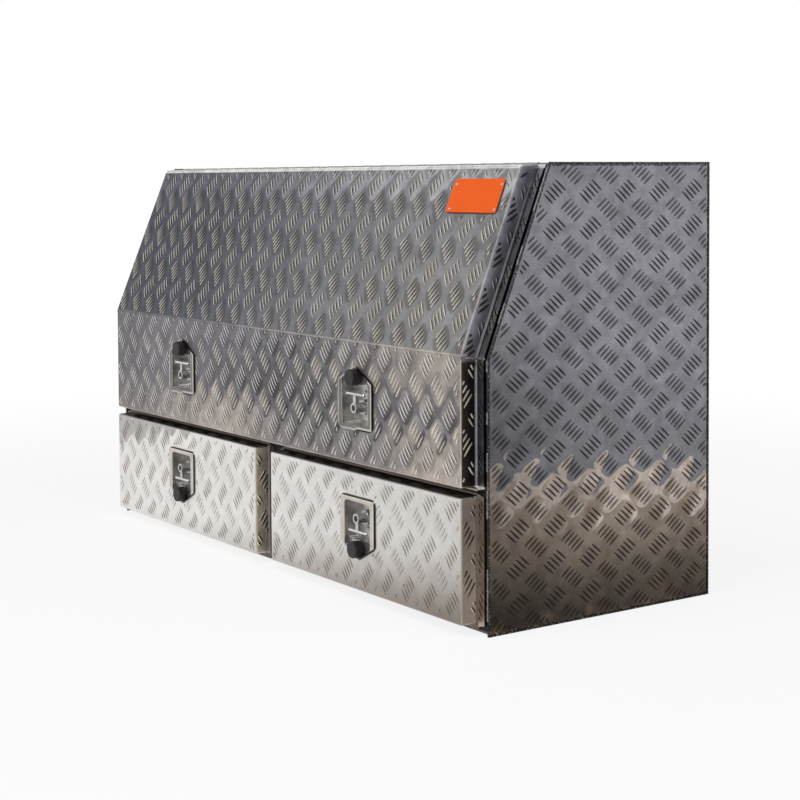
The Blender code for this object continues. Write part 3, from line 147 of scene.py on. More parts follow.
class ToolboxSizes(PropertyGroup):
    bar_length: length("Bar length", "Length of one raised tread bar", 36 * MM)
    bar_width: length("Bar width", "Width of a tread bar at the sheet", 6.6 * MM)
    bar_height: length("Bar height", "How far a tread bar stands off the sheet", 1.2 * MM)
    bar_sink: length("Bar sink", "How deep a bar's rounded body reaches into the sheet", 0.9 * MM)
    bar_spacing: length("Bar spacing", "Distance between neighbouring bars of a group", 9.7 * MM)
    bars_in_group: IntProperty(name="Bars in a group", description="Bars that lie side by side",
                               default=5, min=1, max=9)
    pitch_short: length("Short pitch", "Short side of the pattern's cell", 67.9 * MM)
    pitch_long: length("Long pitch", "Long side of the pattern's cell", 87.4 * MM)
    shortest_bar: length("Shortest bar", "A bar that an edge cuts shorter is left out", 9 * MM)
    bead_pitch: length("Bead pitch", "Distance between the ripples of a weld", 2.6 * MM)
    bead_width: length("Bead width", "Width of a weld bead", 6.0 * MM)
    bead_height: length("Bead height", "Height of a weld bead", 1.6 * MM)
    rivet_radius: length("Rivet radius", "Radius of the rivets on the plate", 3.1 * MM)
    rivet_height: length("Rivet height", "Height of the rivets on the plate", 1.3 * MM)
    floor_radius: length("Floor radius", "Half the width of the studio floor", 14.0)


class ToolboxColours(PropertyGroup):
    # The drawers' bright plate is a painted reflection
    drawer_sheet: colour("Drawer sheet", "Bright tread plate of the drawers", "E9E7E4")
    drawer_low: colour("Drawer foot", "Warmer plate at the foot of the drawers", "887E74")
    drawer_shade: colour("Drawer shade", "Greyer patch at the left drawer's top corner", "A29E9B")
    drawer_side: colour("Drawer side", "Sides of the drawers", "746A60")
    # Painted light: the middle returns are lifted against the shade between the drawers
    split_side: colour("Split side", "Sides of the drawers at the middle", "E2D5C6")
    # The door's upright and slope greys and their paler tones are painted reflections
    door_sheet: colour("Door sheet", "Plate of the door's upright part", "767479")
    door_light: colour("Door light", "Pale tone low down and to the right", "B3A99F")
    slope_sheet: colour("Slope sheet", "Plate of the door's slope", "50515B")
    slope_light: colour("Slope light", "Slope towards the right end", "969698")
    slope_patch: colour("Slope patch", "Warm patches round the bars of the slope", "8F887B")
    door_side: colour("Door side", "Sides of the slope", "82818A")
    # Painted shade on the sides of the door's upright part
    door_dark: colour("Door dark", "Sides of the door's upright part", "332C27")
    # End panel tones are painted reflections of a grey backdrop, a pale horizon band and a brown
    # floor, with painted shade at the foot
    end_sheet: colour("End sheet", "Upper plate of the end panels", "8B8A90")
    end_band: colour("End band", "Pale band across the end panels", "B4A89F")
    end_low: colour("End low", "Plate under the pale band", "978B7E")
    end_foot: colour("End foot", "Dirt at the foot of the end panels", "423B36")
    plain_sheet: colour("Plain sheet", "Roof and back", "85868A")
    # Painted highlight along the door's top edge
    crown_highlight: colour("Crown", "Bright edge along the door's top", "F2F0EC")
    # Painted highlights on bends, edges, latch lines and the bars of the door's returns; also
    # bright worn nicks
    highlight_and_nicks: colour("Edge light", "Worn bends and nicks", "DAD2C6")
    # Painted shadow in gaps, on lip rims, folds and drawer tops, at the latches and the plate;
    # also grime on the end panels' edges
    shadow_and_grime: colour("Gap dark", "Grimy edges and the drawers' tops", "1D1B1A")
    dirt: colour("Dirt", "Spots of dirt beside the bars", "6B5B4A")
    # The bar tones below are painted reflections
    cream_bar: colour("Cream bar", "Bars on the slope", "E9E1D4")
    silver_bar: colour("Silver bar", "Bars on the door's upright part", "E8E5E0")
    dark_bar: colour("Dark bar", "Bars on the end panels", "231E1C")
    grey_bar: colour("Grey bar", "Bars on the drawers", "A3978D")
    weld: colour("Weld", "Weld beads", "8C8B90")
    plate: colour("Plate", "Enamel of the plate on the slope", "FF6610")


class StudioLevels(PropertyGroup):
    world_light: share("World light", "Level of the world's light on the object", 0.62)
    sky_shade: share("Sky shade", "Level of the world straight above", 0.45)
    floor_tone: share("Floor tone", "Brightness of the floor's own colour", 0.92)
    floor_glow: share("Floor glow", "How much of the floor is plain white", 0.85)
    key_power: FloatProperty(name="Key power", description="Power of the main soft lamp",
                             default=95.0, min=0.0, subtype="POWER")
    fill_power: FloatProperty(name="Fill power", description="Power of the second soft lamp",
                              default=40.0, min=0.0, subtype="POWER")


# Material and geometry node trees, written as expressions
class Number:
    """A number in a node tree. An expression on it adds the Math nodes that it needs."""

    def __init__(self, tree, socket):
        self.tree = tree
        self.socket = socket

    def maths(self, operation, *values):
        made = self.tree.node("ShaderNodeMath", dict(enumerate(values)), operation=operation)
        return Number(self.tree, made.outputs[0])

    def __add__(self, other):
        return self.maths("ADD", self, other)

    def __radd__(self, other):
        return self.maths("ADD", other, self)

    def __sub__(self, other):
        return self.maths("SUBTRACT", self, other)

    def __rsub__(self, other):
        return self.maths("SUBTRACT", other, self)

    def __mul__(self, other):
        return self.maths("MULTIPLY", self, other)

    def __rmul__(self, other):
        return self.maths("MULTIPLY", other, self)

    def __truediv__(self, other):
        return self.maths("DIVIDE", self, other)

    def __abs__(self):
        return self.maths("ABSOLUTE", self)

    def at_most(self, other):
        return self.maths("MINIMUM", self, other)

    def at_least(self, other):
        return self.maths("MAXIMUM", self, other)

    def wrapped(self, half):
        return self.maths("WRAP", self, half, -half)

    def root(self):
        return self.maths("SQRT", self)

    def step(self, low, high, start=0.0, end=1.0):
        """Changes smoothly from start to end as the number goes from low to high."""
        made = self.tree.node("ShaderNodeMapRange",
                              {"Value": self, "From Min": low, "From Max": high,
                               "To Min": start, "To Max": end}, interpolation_type="SMOOTHSTEP")
        return Number(self.tree, made.outputs["Result"])


class Tree:
    """A node tree that is filled by calls."""

    def __init__(self, tree):
        self.tree = tree
        tree.nodes.clear()

    def put(self, socket, value):
        if isinstance(value, Number):
            value = value.socket
        if isinstance(value, bpy.types.NodeSocket):
            self.tree.links.new(value, socket)
            return
        if socket.type == "RGBA" and len(value) == 3:
            value = (*value, 1.0)
        socket.default_value = value

    def node(self, kind, values=None, **settings):
        made = self.tree.nodes.new(kind)
        for key, value in settings.items():
            setattr(made, key, value)
        for key, value in (values or {}).items():
            self.put(made.inputs[key], value)
        return made

    def parts(self, vector):
        split = self.node("ShaderNodeSeparateXYZ", {0: vector})
        return [Number(self, socket) for socket in split.outputs]

    def mix(self, amount, first, second, blend="MIX"):
        made = self.node("ShaderNodeMix", {0: amount, 6: first, 7: second}, data_type="RGBA",
                         blend_type=blend)
        return made.outputs[2]


class Finish(Tree):
    """A material with a Principled surface that reads Object coordinates."""

    def __init__(self, name):
        self.material = bpy.data.materials.new(name)
        self.material.use_nodes = True
        super().__init__(self.material.node_tree)
        places = self.node("ShaderNodeTexCoord")
        self.spot = places.outputs["Object"]
        self.x, self.y, self.z = self.parts(self.spot)
        self.face(places.outputs["Normal"])

    def face(self, vector):
        """Take a direction as the one that the surface faces."""
        self.facing = vector
        self.side, self.front, self.up = self.parts(vector)

    def vector(self, operation, values, output="Vector"):
        return self.node("ShaderNodeVectorMath", values, operation=operation).outputs[output]

    def toward(self, heading):
        """How far the surface faces a direction."""
        return Number(self, self.vector("DOT_PRODUCT", {0: self.facing, 1: heading}, "Value"))

    def noise(self, scale, detail=3.0, stretch=(1.0, 1.0, 1.0), shift=(0.0, 0.0, 0.0)):
        spot = self.vector("ADD", {0: self.vector("MULTIPLY", {0: self.spot, 1: stretch}),
                                   1: shift})
        made = self.node("ShaderNodeTexNoise",
                         {"Vector": spot, "Scale": scale, "Detail": detail, "Roughness": 0.55},
                         noise_dimensions="3D")
        return Number(self, made.outputs[0])

    def cloud(self, scale, detail=3.0, **where):
        """Noise that swings about 0."""
        return self.noise(scale, detail, **where) - 0.5

    def paint(self, tone, *coats):
        """A colour under coats, each a pair of its cover and its colour."""
        for cover, coat in coats:
            tone = self.mix(cover, tone, coat)
        return tone

    def times(self, tone, *levels):
        """A colour made lighter or darker by numbers."""
        for level in levels:
            tone = self.vector("SCALE", {0: tone, 3: level})
        return tone

    def attribute(self, name):
        return self.node("ShaderNodeAttribute", attribute_name=name).outputs

    def bump(self, height, distance, strength):
        made = self.node("ShaderNodeBump",
                         {"Height": height, "Distance": distance, "Strength": strength})
        return made.outputs["Normal"]

    def surface(self, tone, roughness, metallic, normal=None, more=None):
        values = {"Base Color": tone, "Roughness": roughness, "Metallic": metallic,
                  **(more or {})}
        if normal is not None:
            values["Normal"] = normal
        shader = self.node("ShaderNodeBsdfPrincipled", values)
        self.node("ShaderNodeOutputMaterial", {"Surface": shader.outputs[0]})
        return self.material


class Shapes(Tree):
    """A geometry node tree that puts a small solid on each point of a mesh."""

    FIELDS = (("Length", "Float"), ("Width", "Float"), ("Height", "Float"), ("Sink", "Float"),
              ("Segments", "Int"), ("Rings", "Int"), ("Finish", "Material"))

    def __init__(self, name):
        group = bpy.data.node_groups.new(name, "GeometryNodeTree")
        super().__init__(group)
        for way in ("INPUT", "OUTPUT"):
            group.interface.new_socket("Geometry", in_out=way, socket_type="NodeSocketGeometry")
        self.fields = [group.interface.new_socket(field, in_out="INPUT",
                                                  socket_type=f"NodeSocket{kind}").identifier
                       for field, kind in self.FIELDS]
        given = self.node("NodeGroupInput").outputs
        long, wide, tall, sink = [Number(self, given[field]) for field, _ in self.FIELDS[:4]]
        ball = self.node("GeometryNodeMeshUVSphere", {"Segments": given["Segments"],
                                                      "Rings": given["Rings"], "Radius": 1.0})
        size = self.node("ShaderNodeCombineXYZ", {0: tall + sink, 1: wide * 0.5, 2: long * 0.5})
        drop = self.node("ShaderNodeCombineXYZ", {2: sink * -1.0})
        laid = self.node("GeometryNodeTransform",
                         {"Geometry": ball.outputs["Mesh"], "Translation": drop.outputs[0],
                          "Rotation": (0.0, math.pi / 2, 0.0), "Scale": size.outputs[0]})
        smooth = self.node("GeometryNodeSetShadeSmooth", {0: laid.outputs[0]})
        turn, stretch = [self.node("GeometryNodeInputNamedAttribute", {"Name": field},
                                   data_type="FLOAT_VECTOR").outputs[0]
                         for field in ("turn", "stretch")]
        turned = self.node("FunctionNodeEulerToRotation", {0: turn})
        placed = self.node("GeometryNodeInstanceOnPoints",
                           {"Points": given["Geometry"], "Instance": smooth.outputs[0],
                            "Rotation": turned.outputs[0], "Scale": stretch})
        real = self.node("GeometryNodeRealizeInstances", {0: placed.outputs[0]})
        dressed = self.node("GeometryNodeSetMaterial",
                            {"Geometry": real.outputs[0], "Material": given["Finish"]})
        self.node("NodeGroupOutput", {0: dressed.outputs[0]})


class Stamp:
    """One solid of a repeated shape: its place, its three directions and its tone."""

    def __init__(self, spot, along, out, stretch=1.0, tone=(1.0, 1.0, 1.0), cover=1.0,
                 flanks=(0.5, 1.0, 0.0)):
        self.spot = spot
        across = out.cross(along)
        turn = Matrix((along, across, out)).transposed()
        self.turn = turn.to_euler()
        self.out = out
        self.stretch = (stretch, 1.0, 1.0) if isinstance(stretch, float) else stretch
        self.tone = (*tone, cover)
        self.flanks = flanks


def stamped(name, stamps, body, finish, sizes, ball):
    """The piece that a list of stamps makes, as a plain mesh that rides on a body."""
    points = bpy.data.meshes.new(name)
    points.from_pydata([stamp.spot for stamp in stamps], [], [])
    for field in ("turn", "stretch", "out", "tone", "flanks"):
        kind, key = ("FLOAT_COLOR", "color") if field == "tone" else ("FLOAT_VECTOR", "vector")
        made = points.attributes.new(field, kind, "POINT")
        made.data.foreach_set(key, [part for stamp in stamps for part in getattr(stamp, field)])
    holder = bpy.data.objects.new(name, points)
    bpy.context.scene.collection.objects.link(holder)
    shapes = Shapes(f"{name}_shapes")
    modifier = holder.modifiers.new("shapes", "NODES")
    modifier.node_group = shapes.tree
    for field, value in zip(shapes.fields, (*sizes, *ball, finish)):
        modifier[field] = value
    bpy.context.view_layer.update()
    graph = bpy.context.evaluated_depsgraph_get()
    mesh = bpy.data.meshes.new_from_object(holder.evaluated_get(graph))
    if not mesh.polygons:
        raise RuntimeError(f"{name} came out empty")
    bpy.data.objects.remove(holder, do_unlink=True)
    bpy.data.node_groups.remove(shapes.tree)
    piece = bpy.data.objects.new(name, mesh)
    bpy.context.scene.collection.objects.link(piece)
    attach(piece, body)
    return piece


# Tread plate laid flat: a lattice of bar groups, and the flat stretches that carry it
class Pattern:
    """Where the groups of bars lie on a sheet, in flat coordinates."""

    def __init__(self, origin, pitch):
        self.origin = origin
        self.pitch = pitch

    def groups(self, low, high):
        """Centre and lean of every group near a flat rectangle. Lean is 1 for / and -1 for \\."""
        reach = max(self.pitch) / 2
        for lean, shift in ((1, 0.0), (-1, 0.5)):
            start = [self.origin[axis] + shift * self.pitch[axis] for axis in (0, 1)]
            counts = []
            for axis in (0, 1):
                first = math.floor((low[axis] - reach - start[axis]) / self.pitch[axis])
                last = math.ceil((high[axis] + reach - start[axis]) / self.pitch[axis])
                counts.append(range(first, last + 1))
            for column in counts[0]:
                for row in counts[1]:
                    yield (Vector((start[0] + column * self.pitch[0],
                                   start[1] + row * self.pitch[1])), lean)


class Sheet:
    """A flat stretch of plate: its outline and holes in flat coordinates (u, v), where they lie,
    and the tones of its / bars and its \\ bars, or one for both."""

    def __init__(self, spot, across, up, outline, tones, at=(0.0, 0.0), holes=()):
        self.spot = Vector(spot)
        self.across = across
        self.up = up
        self.out = across.cross(up)
        self.at = at
        self.outline = [Vector(point) for point in outline]
        self.holes = [[Vector(point) for point in hole] for hole in holes]
        self.tones = tones

    def place(self, flat):
        return (self.spot + (flat[0] - self.at[0]) * self.across
                + (flat[1] - self.at[1]) * self.up)


def span_inside(polygon, margin, start, heading, reach):
    """The stretch of a line that lies inside a polygon by a margin, or None."""
    low, high = -reach, reach
    for here, ahead in zip(polygon, polygon[1:] + polygon[:1]):
        edge = (ahead - here).normalized()
        inward = Vector((-edge.y, edge.x))
        distance = inward.dot(start - here) - margin
        rate = inward.dot(heading)
        if abs(rate) < 1e-9:
            if distance < 0:
                return None
            continue
        cross = -distance / rate
        if rate > 0:
            low = max(low, cross)
        else:
            high = min(high, cross)
    return (low, high) if high > low else None


def bars_on(sheet, pattern, sizes, chance):
    """The stamps of every bar that a sheet carries."""
    stamps = []
    half = sizes.bar_length / 2
    low = [min(point[axis] for point in sheet.outline) for axis in (0, 1)]
    high = [max(point[axis] for point in sheet.outline) for axis in (0, 1)]
    middle = (sizes.bars_in_group - 1) / 2
    edge = sizes.bar_width / 4
    for centre, lean in pattern.groups(low, high):
        heading = Vector((pattern.pitch[0], lean * pattern.pitch[1])).normalized()
        sideways = Vector((heading.x, -heading.y))
        for index in range(sizes.bars_in_group):
            start = centre + sideways * (index - middle) * sizes.bar_spacing
            span = span_inside(sheet.outline, edge, start, heading, half)
            if span is None:
                continue
            for hole in sheet.holes:
                blocked = span_inside(hole, -sizes.bar_width / 2, start, heading, half)
                if blocked is None:
                    continue
                before = (span[0], min(span[1], blocked[0]))
                after = (max(span[0], blocked[1]), span[1])
                span = max(before, after, key=lambda pair: pair[1] - pair[0])
            if span[1] - span[0] < sizes.shortest_bar:
                continue
            spot = sheet.place(start + heading * (span[0] + span[1]) / 2)
            along = heading.x * sheet.across + heading.y * sheet.up
            tone, cover, flanks = sheet.tones[0 if lean > 0 else -1]
            level = chance.uniform(*BAR_LEVELS)
            shade = tuple(min(1.0, part * level) for part in tone)
            stamps.append(Stamp(spot, along, sheet.out, (span[1] - span[0]) / (2 * half), shade,
                                cover, flanks))
    return stamps


def rectangle(u_low, u_high, v_low, v_high):
    return [(u_low, v_low), (u_high, v_low), (u_high, v_high), (u_low, v_high)]


LATCH_HALF_WIDTH = 59.5 * MM
LATCH_FLAT_END = 43.5 * MM
LATCH_SHOULDER = 52.0 * MM
LATCH_APEX = 84.0 * MM


def latch_outline(centre, up):
    """The outline of a latch's plate, point up or point down, on a front."""
    points = [(-LATCH_HALF_WIDTH, -LATCH_FLAT_END), (LATCH_HALF_WIDTH, -LATCH_FLAT_END),
              (LATCH_HALF_WIDTH, LATCH_SHOULDER), (0, LATCH_APEX),
              (-LATCH_HALF_WIDTH, LATCH_SHOULDER)]
    return [(centre[0] + up * across, centre[1] + up * along) for across, along in points]


def latch_centre(name):
    low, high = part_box(f"key_plug_{name}")
    return ((low.x + high.x) / 2, (low.z + high.z) / 2)


def folds(edge, turn, lip_width):
    """Start and span of the return and of the lip behind a front's edge, in flat coordinates."""
    start = edge - turn * BEND_TAKE
    deep = start + turn * PROUD
    lip = deep - turn * BEND_TAKE
    side_span = sorted((start + turn * SIDE_EDGE, deep - turn * SIDE_EDGE))
    lip_span = sorted((lip + turn * SIDE_EDGE, lip + turn * (lip_width - LIP_EDGE)))
    return start, side_span, lip, lip_span


def door_sheets(colours):
    """The front, the slope, the returns, the lips and the top of the door.

    A bar's tone is its colour, a painted reflection, how far that covers the plate's, and for its
    flanks the level of the painted shade on the dark one, the level of the painted highlight on
    the bright one and the share of the bar's colour in it.
    """
    bright = (colours.silver_bar, 0.88, (0.10, 1.10, 1.0))
    dull = (colours.cream_bar, 0.62, (0.25, 1.10, 1.0))
    cream = (colours.cream_bar, 0.95, (0.10, 1.05, 1.0))
    shade = (colours.cream_bar, 0.70, (0.10, 1.28, 1.0))
    dark = (colours.dark_bar, 0.95, (0.15, 1.00, 0.0))
    # Bars on the upright's returns take a painted highlight as their colour
    light = (colours.highlight_and_nicks, 0.50, (0.20, 1.25, 1.0))
    flat_kink = PAN_KINK_Z - KINK_TAKE
    flat_top = flat_kink + SLOPE_LENGTH
    across = (BEND - FRONT_X, FRONT_X - BEND)
    low = DOOR_BOTTOM + BEND
    plate_low, plate_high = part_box("name_plate")
    plate = rectangle(plate_low.x, plate_high.x,
                      *[(z - PAN_KINK_Z) / math.cos(SLOPE) + flat_kink
                        for z in (plate_low.z, plate_high.z)])
    latches = [latch_outline(latch_centre(f"door_{side}"), 1.0) for side, _ in SIDES]
    kink = Vector((0, PAN_Y, PAN_KINK_Z))
    sheets = [Sheet((0, PAN_Y, 0), X, Z, rectangle(*across, low, PAN_KINK_Z), [dull, bright],
                    holes=latches),
              Sheet(kink, X, UP_SLOPE, rectangle(*across, flat_kink, flat_top - BEND),
                    [shade, cream], (0, flat_kink), [plate]),
              Sheet(kink + UP_SLOPE * SLOPE_LENGTH, X, Y,
                    rectangle(*across, flat_top + BEND, flat_top + PROUD / math.cos(SLOPE)),
                    [dark], (0, flat_top))]
    for _, sign in SIDES:
        edge = sign * FRONT_X
        start, side_span, lip, lip_span = folds(edge, sign, SIDE_LIP)
        back = Vector((0, math.cos(SLOPE), -math.sin(SLOPE))) * sign
        sheets += [Sheet((edge, PAN_Y, 0), sign * Y, Z, rectangle(*side_span, low, KINK_Z),
                         [light], (start, 0)),
                   Sheet((edge, PAN_Y, PAN_KINK_Z), back, UP_SLOPE,
                         rectangle(*side_span, flat_kink, flat_top - BEND), [dark],
                         (start, flat_kink)),
                   Sheet((edge, LIP_Y, 0), X, Z, rectangle(*lip_span, low, KINK_Z), [dark],
                         (lip, 0)),
                   Sheet((edge, LIP_Y, KINK_Z), X, UP_SLOPE,
                         rectangle(*lip_span, flat_kink, flat_top), [dark], (lip, flat_kink))]
    return sheets


def drawer_sheets(sign, colours):
    """The front, the top, the returns and the lips of a drawer."""
    grey = (colours.grey_bar, 0.22, (0.28, 1.15, 0.0))
    dark = (colours.dark_bar, 0.85, (0.20, 1.25, 0.0))
    side = "right" if sign > 0 else "left"
    across = sorted((sign * (SPLIT_X + BEND), sign * (FRONT_X - BEND)))
    height = (DRAWER_BOTTOM + BEND, DRAWER_TOP - BEND)
    top = DRAWER_TOP - BEND_TAKE
    latch = latch_outline(latch_centre(f"drawer_{side}"), -1.0)
    sheets = [Sheet((0, PAN_Y, 0), X, Z, rectangle(*across, *height), [grey], holes=[latch]),
              Sheet((0, PAN_Y, DRAWER_TOP), X, Y,
                    rectangle(*across, top + BEND, top + PROUD - BEND), [grey], (0, top))]
    for turn, edge, lip_width in ((sign, sign * FRONT_X, SIDE_LIP),
                                  (-sign, sign * SPLIT_X, SPLIT_LIP)):
        start, side_span, lip, lip_span = folds(edge, turn, lip_width)
        sheets += [Sheet((edge, PAN_Y, 0), turn * Y, Z, rectangle(*side_span, *height), [dark],
                         (start, 0)),
                   Sheet((edge, LIP_Y, 0), X, Z, rectangle(*lip_span, *height), [dark],
                         (lip, 0))]
    return sheets


def end_sheet(sign, colours):
    """The outer face of an end panel, seen from outside with its front on the left or right."""
    dark = (colours.dark_bar, 0.90, (0.30, 1.50, 0.0))
    grey = (colours.dark_bar, 0.72, (0.30, 1.30, 0.0))
    front, back = LIP_Y + END_RIM, END_HIGH.y - END_RIM
    top = END_HIGH.z - END_RIM
    cut = (LIP_Y + SETBACK + END_RIM * 0.7, KINK_Z - END_RIM * 0.3)
    outline = [(front, END_RIM), (back, END_RIM), (back, top), (cut[0], top), (front, cut[1])]
    if sign < 0:
        outline = [(-u, v) for u, v in reversed(outline)]
    return Sheet((sign * END_GROUND_X, 0, 0), sign * Y, Z, outline, [grey, dark])


class ToolboxTreadBars(Operator):
    """Put the raised bars on every sheet of tread plate"""
    bl_idname = "toolbox.tread_bars"
    bl_label = "Tread bars"

    def execute(self, context):
        sizes = context.scene.toolbox_sizes
        colours = context.scene.toolbox_colours
        chance = random.Random(BAR_SEED)
        patterns = tread_patterns(sizes)
        grey = (colours.dark_bar, 0.50, (0.30, 1.20, 0.0))
        bar = (sizes.bar_length, sizes.bar_width, sizes.bar_height, sizes.bar_sink)
        jobs = [("door", "door", door_sheets(colours))]
        for side, sign in SIDES:
            jobs += [(f"drawer_{side}", f"drawer_{side}", drawer_sheets(sign, colours)),
                     (f"end_{side}", "cabinet", [end_sheet(sign, colours)])]
        for part, low, high, across, up, spot in (
                ("roof", ROOF_LOW, ROOF_HIGH, X, Y, Z * ROOF_HIGH.z),
                ("back", BACK_LOW, BACK_HIGH, -X, Z, Y * BACK_HIGH.y)):
            outline = rectangle(low.x + PLAIN_EDGE, high.x - PLAIN_EDGE,
                                low.dot(up) + PLAIN_EDGE, high.dot(up) - PLAIN_EDGE)
            jobs.append((part, "cabinet", [Sheet(spot, across, up, outline, [grey])]))
        for part, body, sheets in jobs:
            stamps = []
            for sheet in sheets:
                stamps += bars_on(sheet, patterns[part], sizes, chance)
            finish = bar_finish(f"bars_{part}", part, patterns[part], colours)
            piece = stamped(f"tread_bars_{part}", stamps, body, finish, bar, BAR_BALL)
        return {"FINISHED"}


def tread_patterns(sizes):
    """Where the groups of bars lie on each part's sheet."""
    upright = (sizes.pitch_short, sizes.pitch_long)
    lying = (sizes.pitch_long, sizes.pitch_short)
    return {"door": Pattern((12.0 * MM, 2.2 * MM), upright),
            "drawer_left": Pattern((-616.2 * MM, 172.3 * MM), upright),
            "drawer_right": Pattern((16.3 * MM, 185.0 * MM), upright),
            "end_left": Pattern((43.0 * MM, 27.0 * MM), lying),
            "end_right": Pattern((-137.3 * MM, 693.6 * MM), lying),
            "roof": Pattern((9.0 * MM, 31.0 * MM), upright),
            "back": Pattern((21.0 * MM, 40.0 * MM), upright)}


# Finishes
class Cells:
    """The pattern as a material sees it: how near a group of bars, and on which side of it."""

    def __init__(self, look, part, pattern):
        if part.startswith("end"):
            across = look.y if part == "end_right" else look.y * -1.0
            up = look.z
        elif part == "roof":
            across, up = look.x, look.y
        elif part == "back":
            across, up = look.x * -1.0, look.z
        else:
            rise = (look.z - PAN_KINK_Z).at_least(0.0)
            across = look.x
            up = look.z + rise * (1.0 / math.cos(SLOPE) - 1.0)
        warp = look.cloud(55.0, 2.0, shift=(5.0, 2.0, 0.0)) * 0.12
        right = (across - pattern.origin[0]) / pattern.pitch[0] + warp
        above = (up - pattern.origin[1]) / pattern.pitch[1]
        along = ((right + above) * 0.5).wrapped(0.25)
        aside = ((right - above) * 0.5).wrapped(0.25)
        along_2 = along * along
        aside_2 = aside * aside
        away = (along_2 * along_2 + aside_2 * aside_2).root().root()
        self.group = away.step(0.245, 0.190)
        self.dome = away.step(0.26, 0.05)
        self.tilt = aside * 5.0 * away.step(0.250, 0.205)
        lean = abs(right.wrapped(0.5)) + abs(above.wrapped(0.5))
        self.slash = lean.step(0.54, 0.46)


def on_side(look, *levels):
    """1 where the surface faces sideways, or a change between two levels."""
    return abs(look.side).step(0.55, 0.80, *levels)


def bends(look, *headings):
    """1 on the bends between faces that look ahead, sideways, up, down or along a heading."""
    flat = (look.front * -1.0).at_least(abs(look.side)).at_least(abs(look.up))
    for heading in headings:
        flat = flat.at_least(look.toward(tuple(heading)))
    return flat.step(0.97, 0.90)


def end_tone(look, cells, colours):
    """Painted reflections: grey above, a pale band with a scalloped upper edge, brown below;
    painted shade at the foot and towards the front edge.
    """
    depth = look.y - LIP_Y
    wave = look.cloud(9.0, 2.0, shift=(3.0, 1.0, 2.0))
    ragged = look.cloud(70.0, 2.0, shift=(0.0, 4.0, 1.0))
    line = BAND_TOP - depth * BAND_FALL + wave * BAND_WAVE
    height = look.z - line + cells.tilt * TILT_SHIFT + ragged * 0.008
    # Painted shade towards the end panel's front edge, less of it higher up
    front = depth.step(0.34, -0.06)
    high = look.z.step(0.34, 0.66)
    upper = look.times(colours.end_sheet, 1.0 - front * (0.52 - high * 0.36),
                       height.step(0.005, 0.28, 0.76, 1.0))
    foot = look.z.step(0.260, 0.0)
    band = height.step(-0.075, -0.040)
    lower = look.paint(colours.end_low, (foot, colours.end_foot), (band, colours.end_band))
    # A thin brighter painted line along the band's lower edge
    vein = abs(height + 0.048).step(0.007, 0.001)
    lower = look.times(lower, 1.0 + vein * 0.20, 1.0 - front * 0.50)
    rust = look.noise(17.0, 5.0, shift=(6.0, 2.0, 8.0)).step(0.50, 0.66)
    return look.paint(lower, (rust * 0.40, colours.dirt), (height.step(-0.002, 0.003), upper))


def slope_tone(look, cells, colours, ragged, height):
    """Painted reflections on the grey slope, paler towards the right end, with warm patches, a
    painted highlight at its top and painted shade in the / groups.
    """
    patch = cells.group * (look.x + ragged * 0.3).step(0.18, 0.50) * look.z.step(0.75, 0.60)
    tone = look.paint(colours.slope_sheet, (look.x.step(-0.55, 0.66), colours.slope_light),
                      (patch * 0.5, colours.slope_patch))
    # Painted shade in the / groups, and a painted highlight along the slope's top
    return look.times(tone, 1.0 - cells.group * cells.slash * 0.30,
                      height.step(0.795, 0.815, 1.0, 1.75))


def upright_tone(look, cells, colours, ragged, height):
    """Painted reflections on grey plate: pale veins low down and to the right; painted shade
    across the middle and on one side of each group's dome.
    """
    sideways = look.x + ragged * 0.3
    swell = look.x.step(*LEFT_END) * 0.030
    foot = (height - swell).step(0.345, 0.285) * look.x.step(0.10, -0.15, 0.22, 1.0)
    foot = foot * look.x.step(*LEFT_END, 0.30, 0.85)
    top = height.step(0.425, 0.455) * 0.75
    corner = sideways.step(0.38, 0.64) * top.at_least(height.step(0.385, 0.310))
    # Painted shade across the middle of the upright part
    dark = look.x.step(-0.45, 0.15) * height.step(0.475, 0.420) * height.step(0.290, 0.330)
    dark = dark * look.x.step(0.20, 0.60, 1.0, 0.1)
    tan = cells.group * sideways.step(0.02, 0.42)
    tan = tan * (look.z + ragged * 0.1).step(0.340, 0.430, 0.25, 1.0)
    # Painted shade on one side of each group's dome
    lee_shade = cells.tilt.step(0.25, 0.80) * look.x.step(-0.40, 0.15)
    tone = look.times(colours.door_sheet, 1.0 - dark * 0.36,
                      look.x.step(-0.66, -0.46, 0.84, 1.0))
    tone = look.times(look.mix(tan * 0.50, tone, colours.door_light), 1.0 - lee_shade * 0.58)
    return look.mix(foot.at_least(corner), tone, colours.door_light)


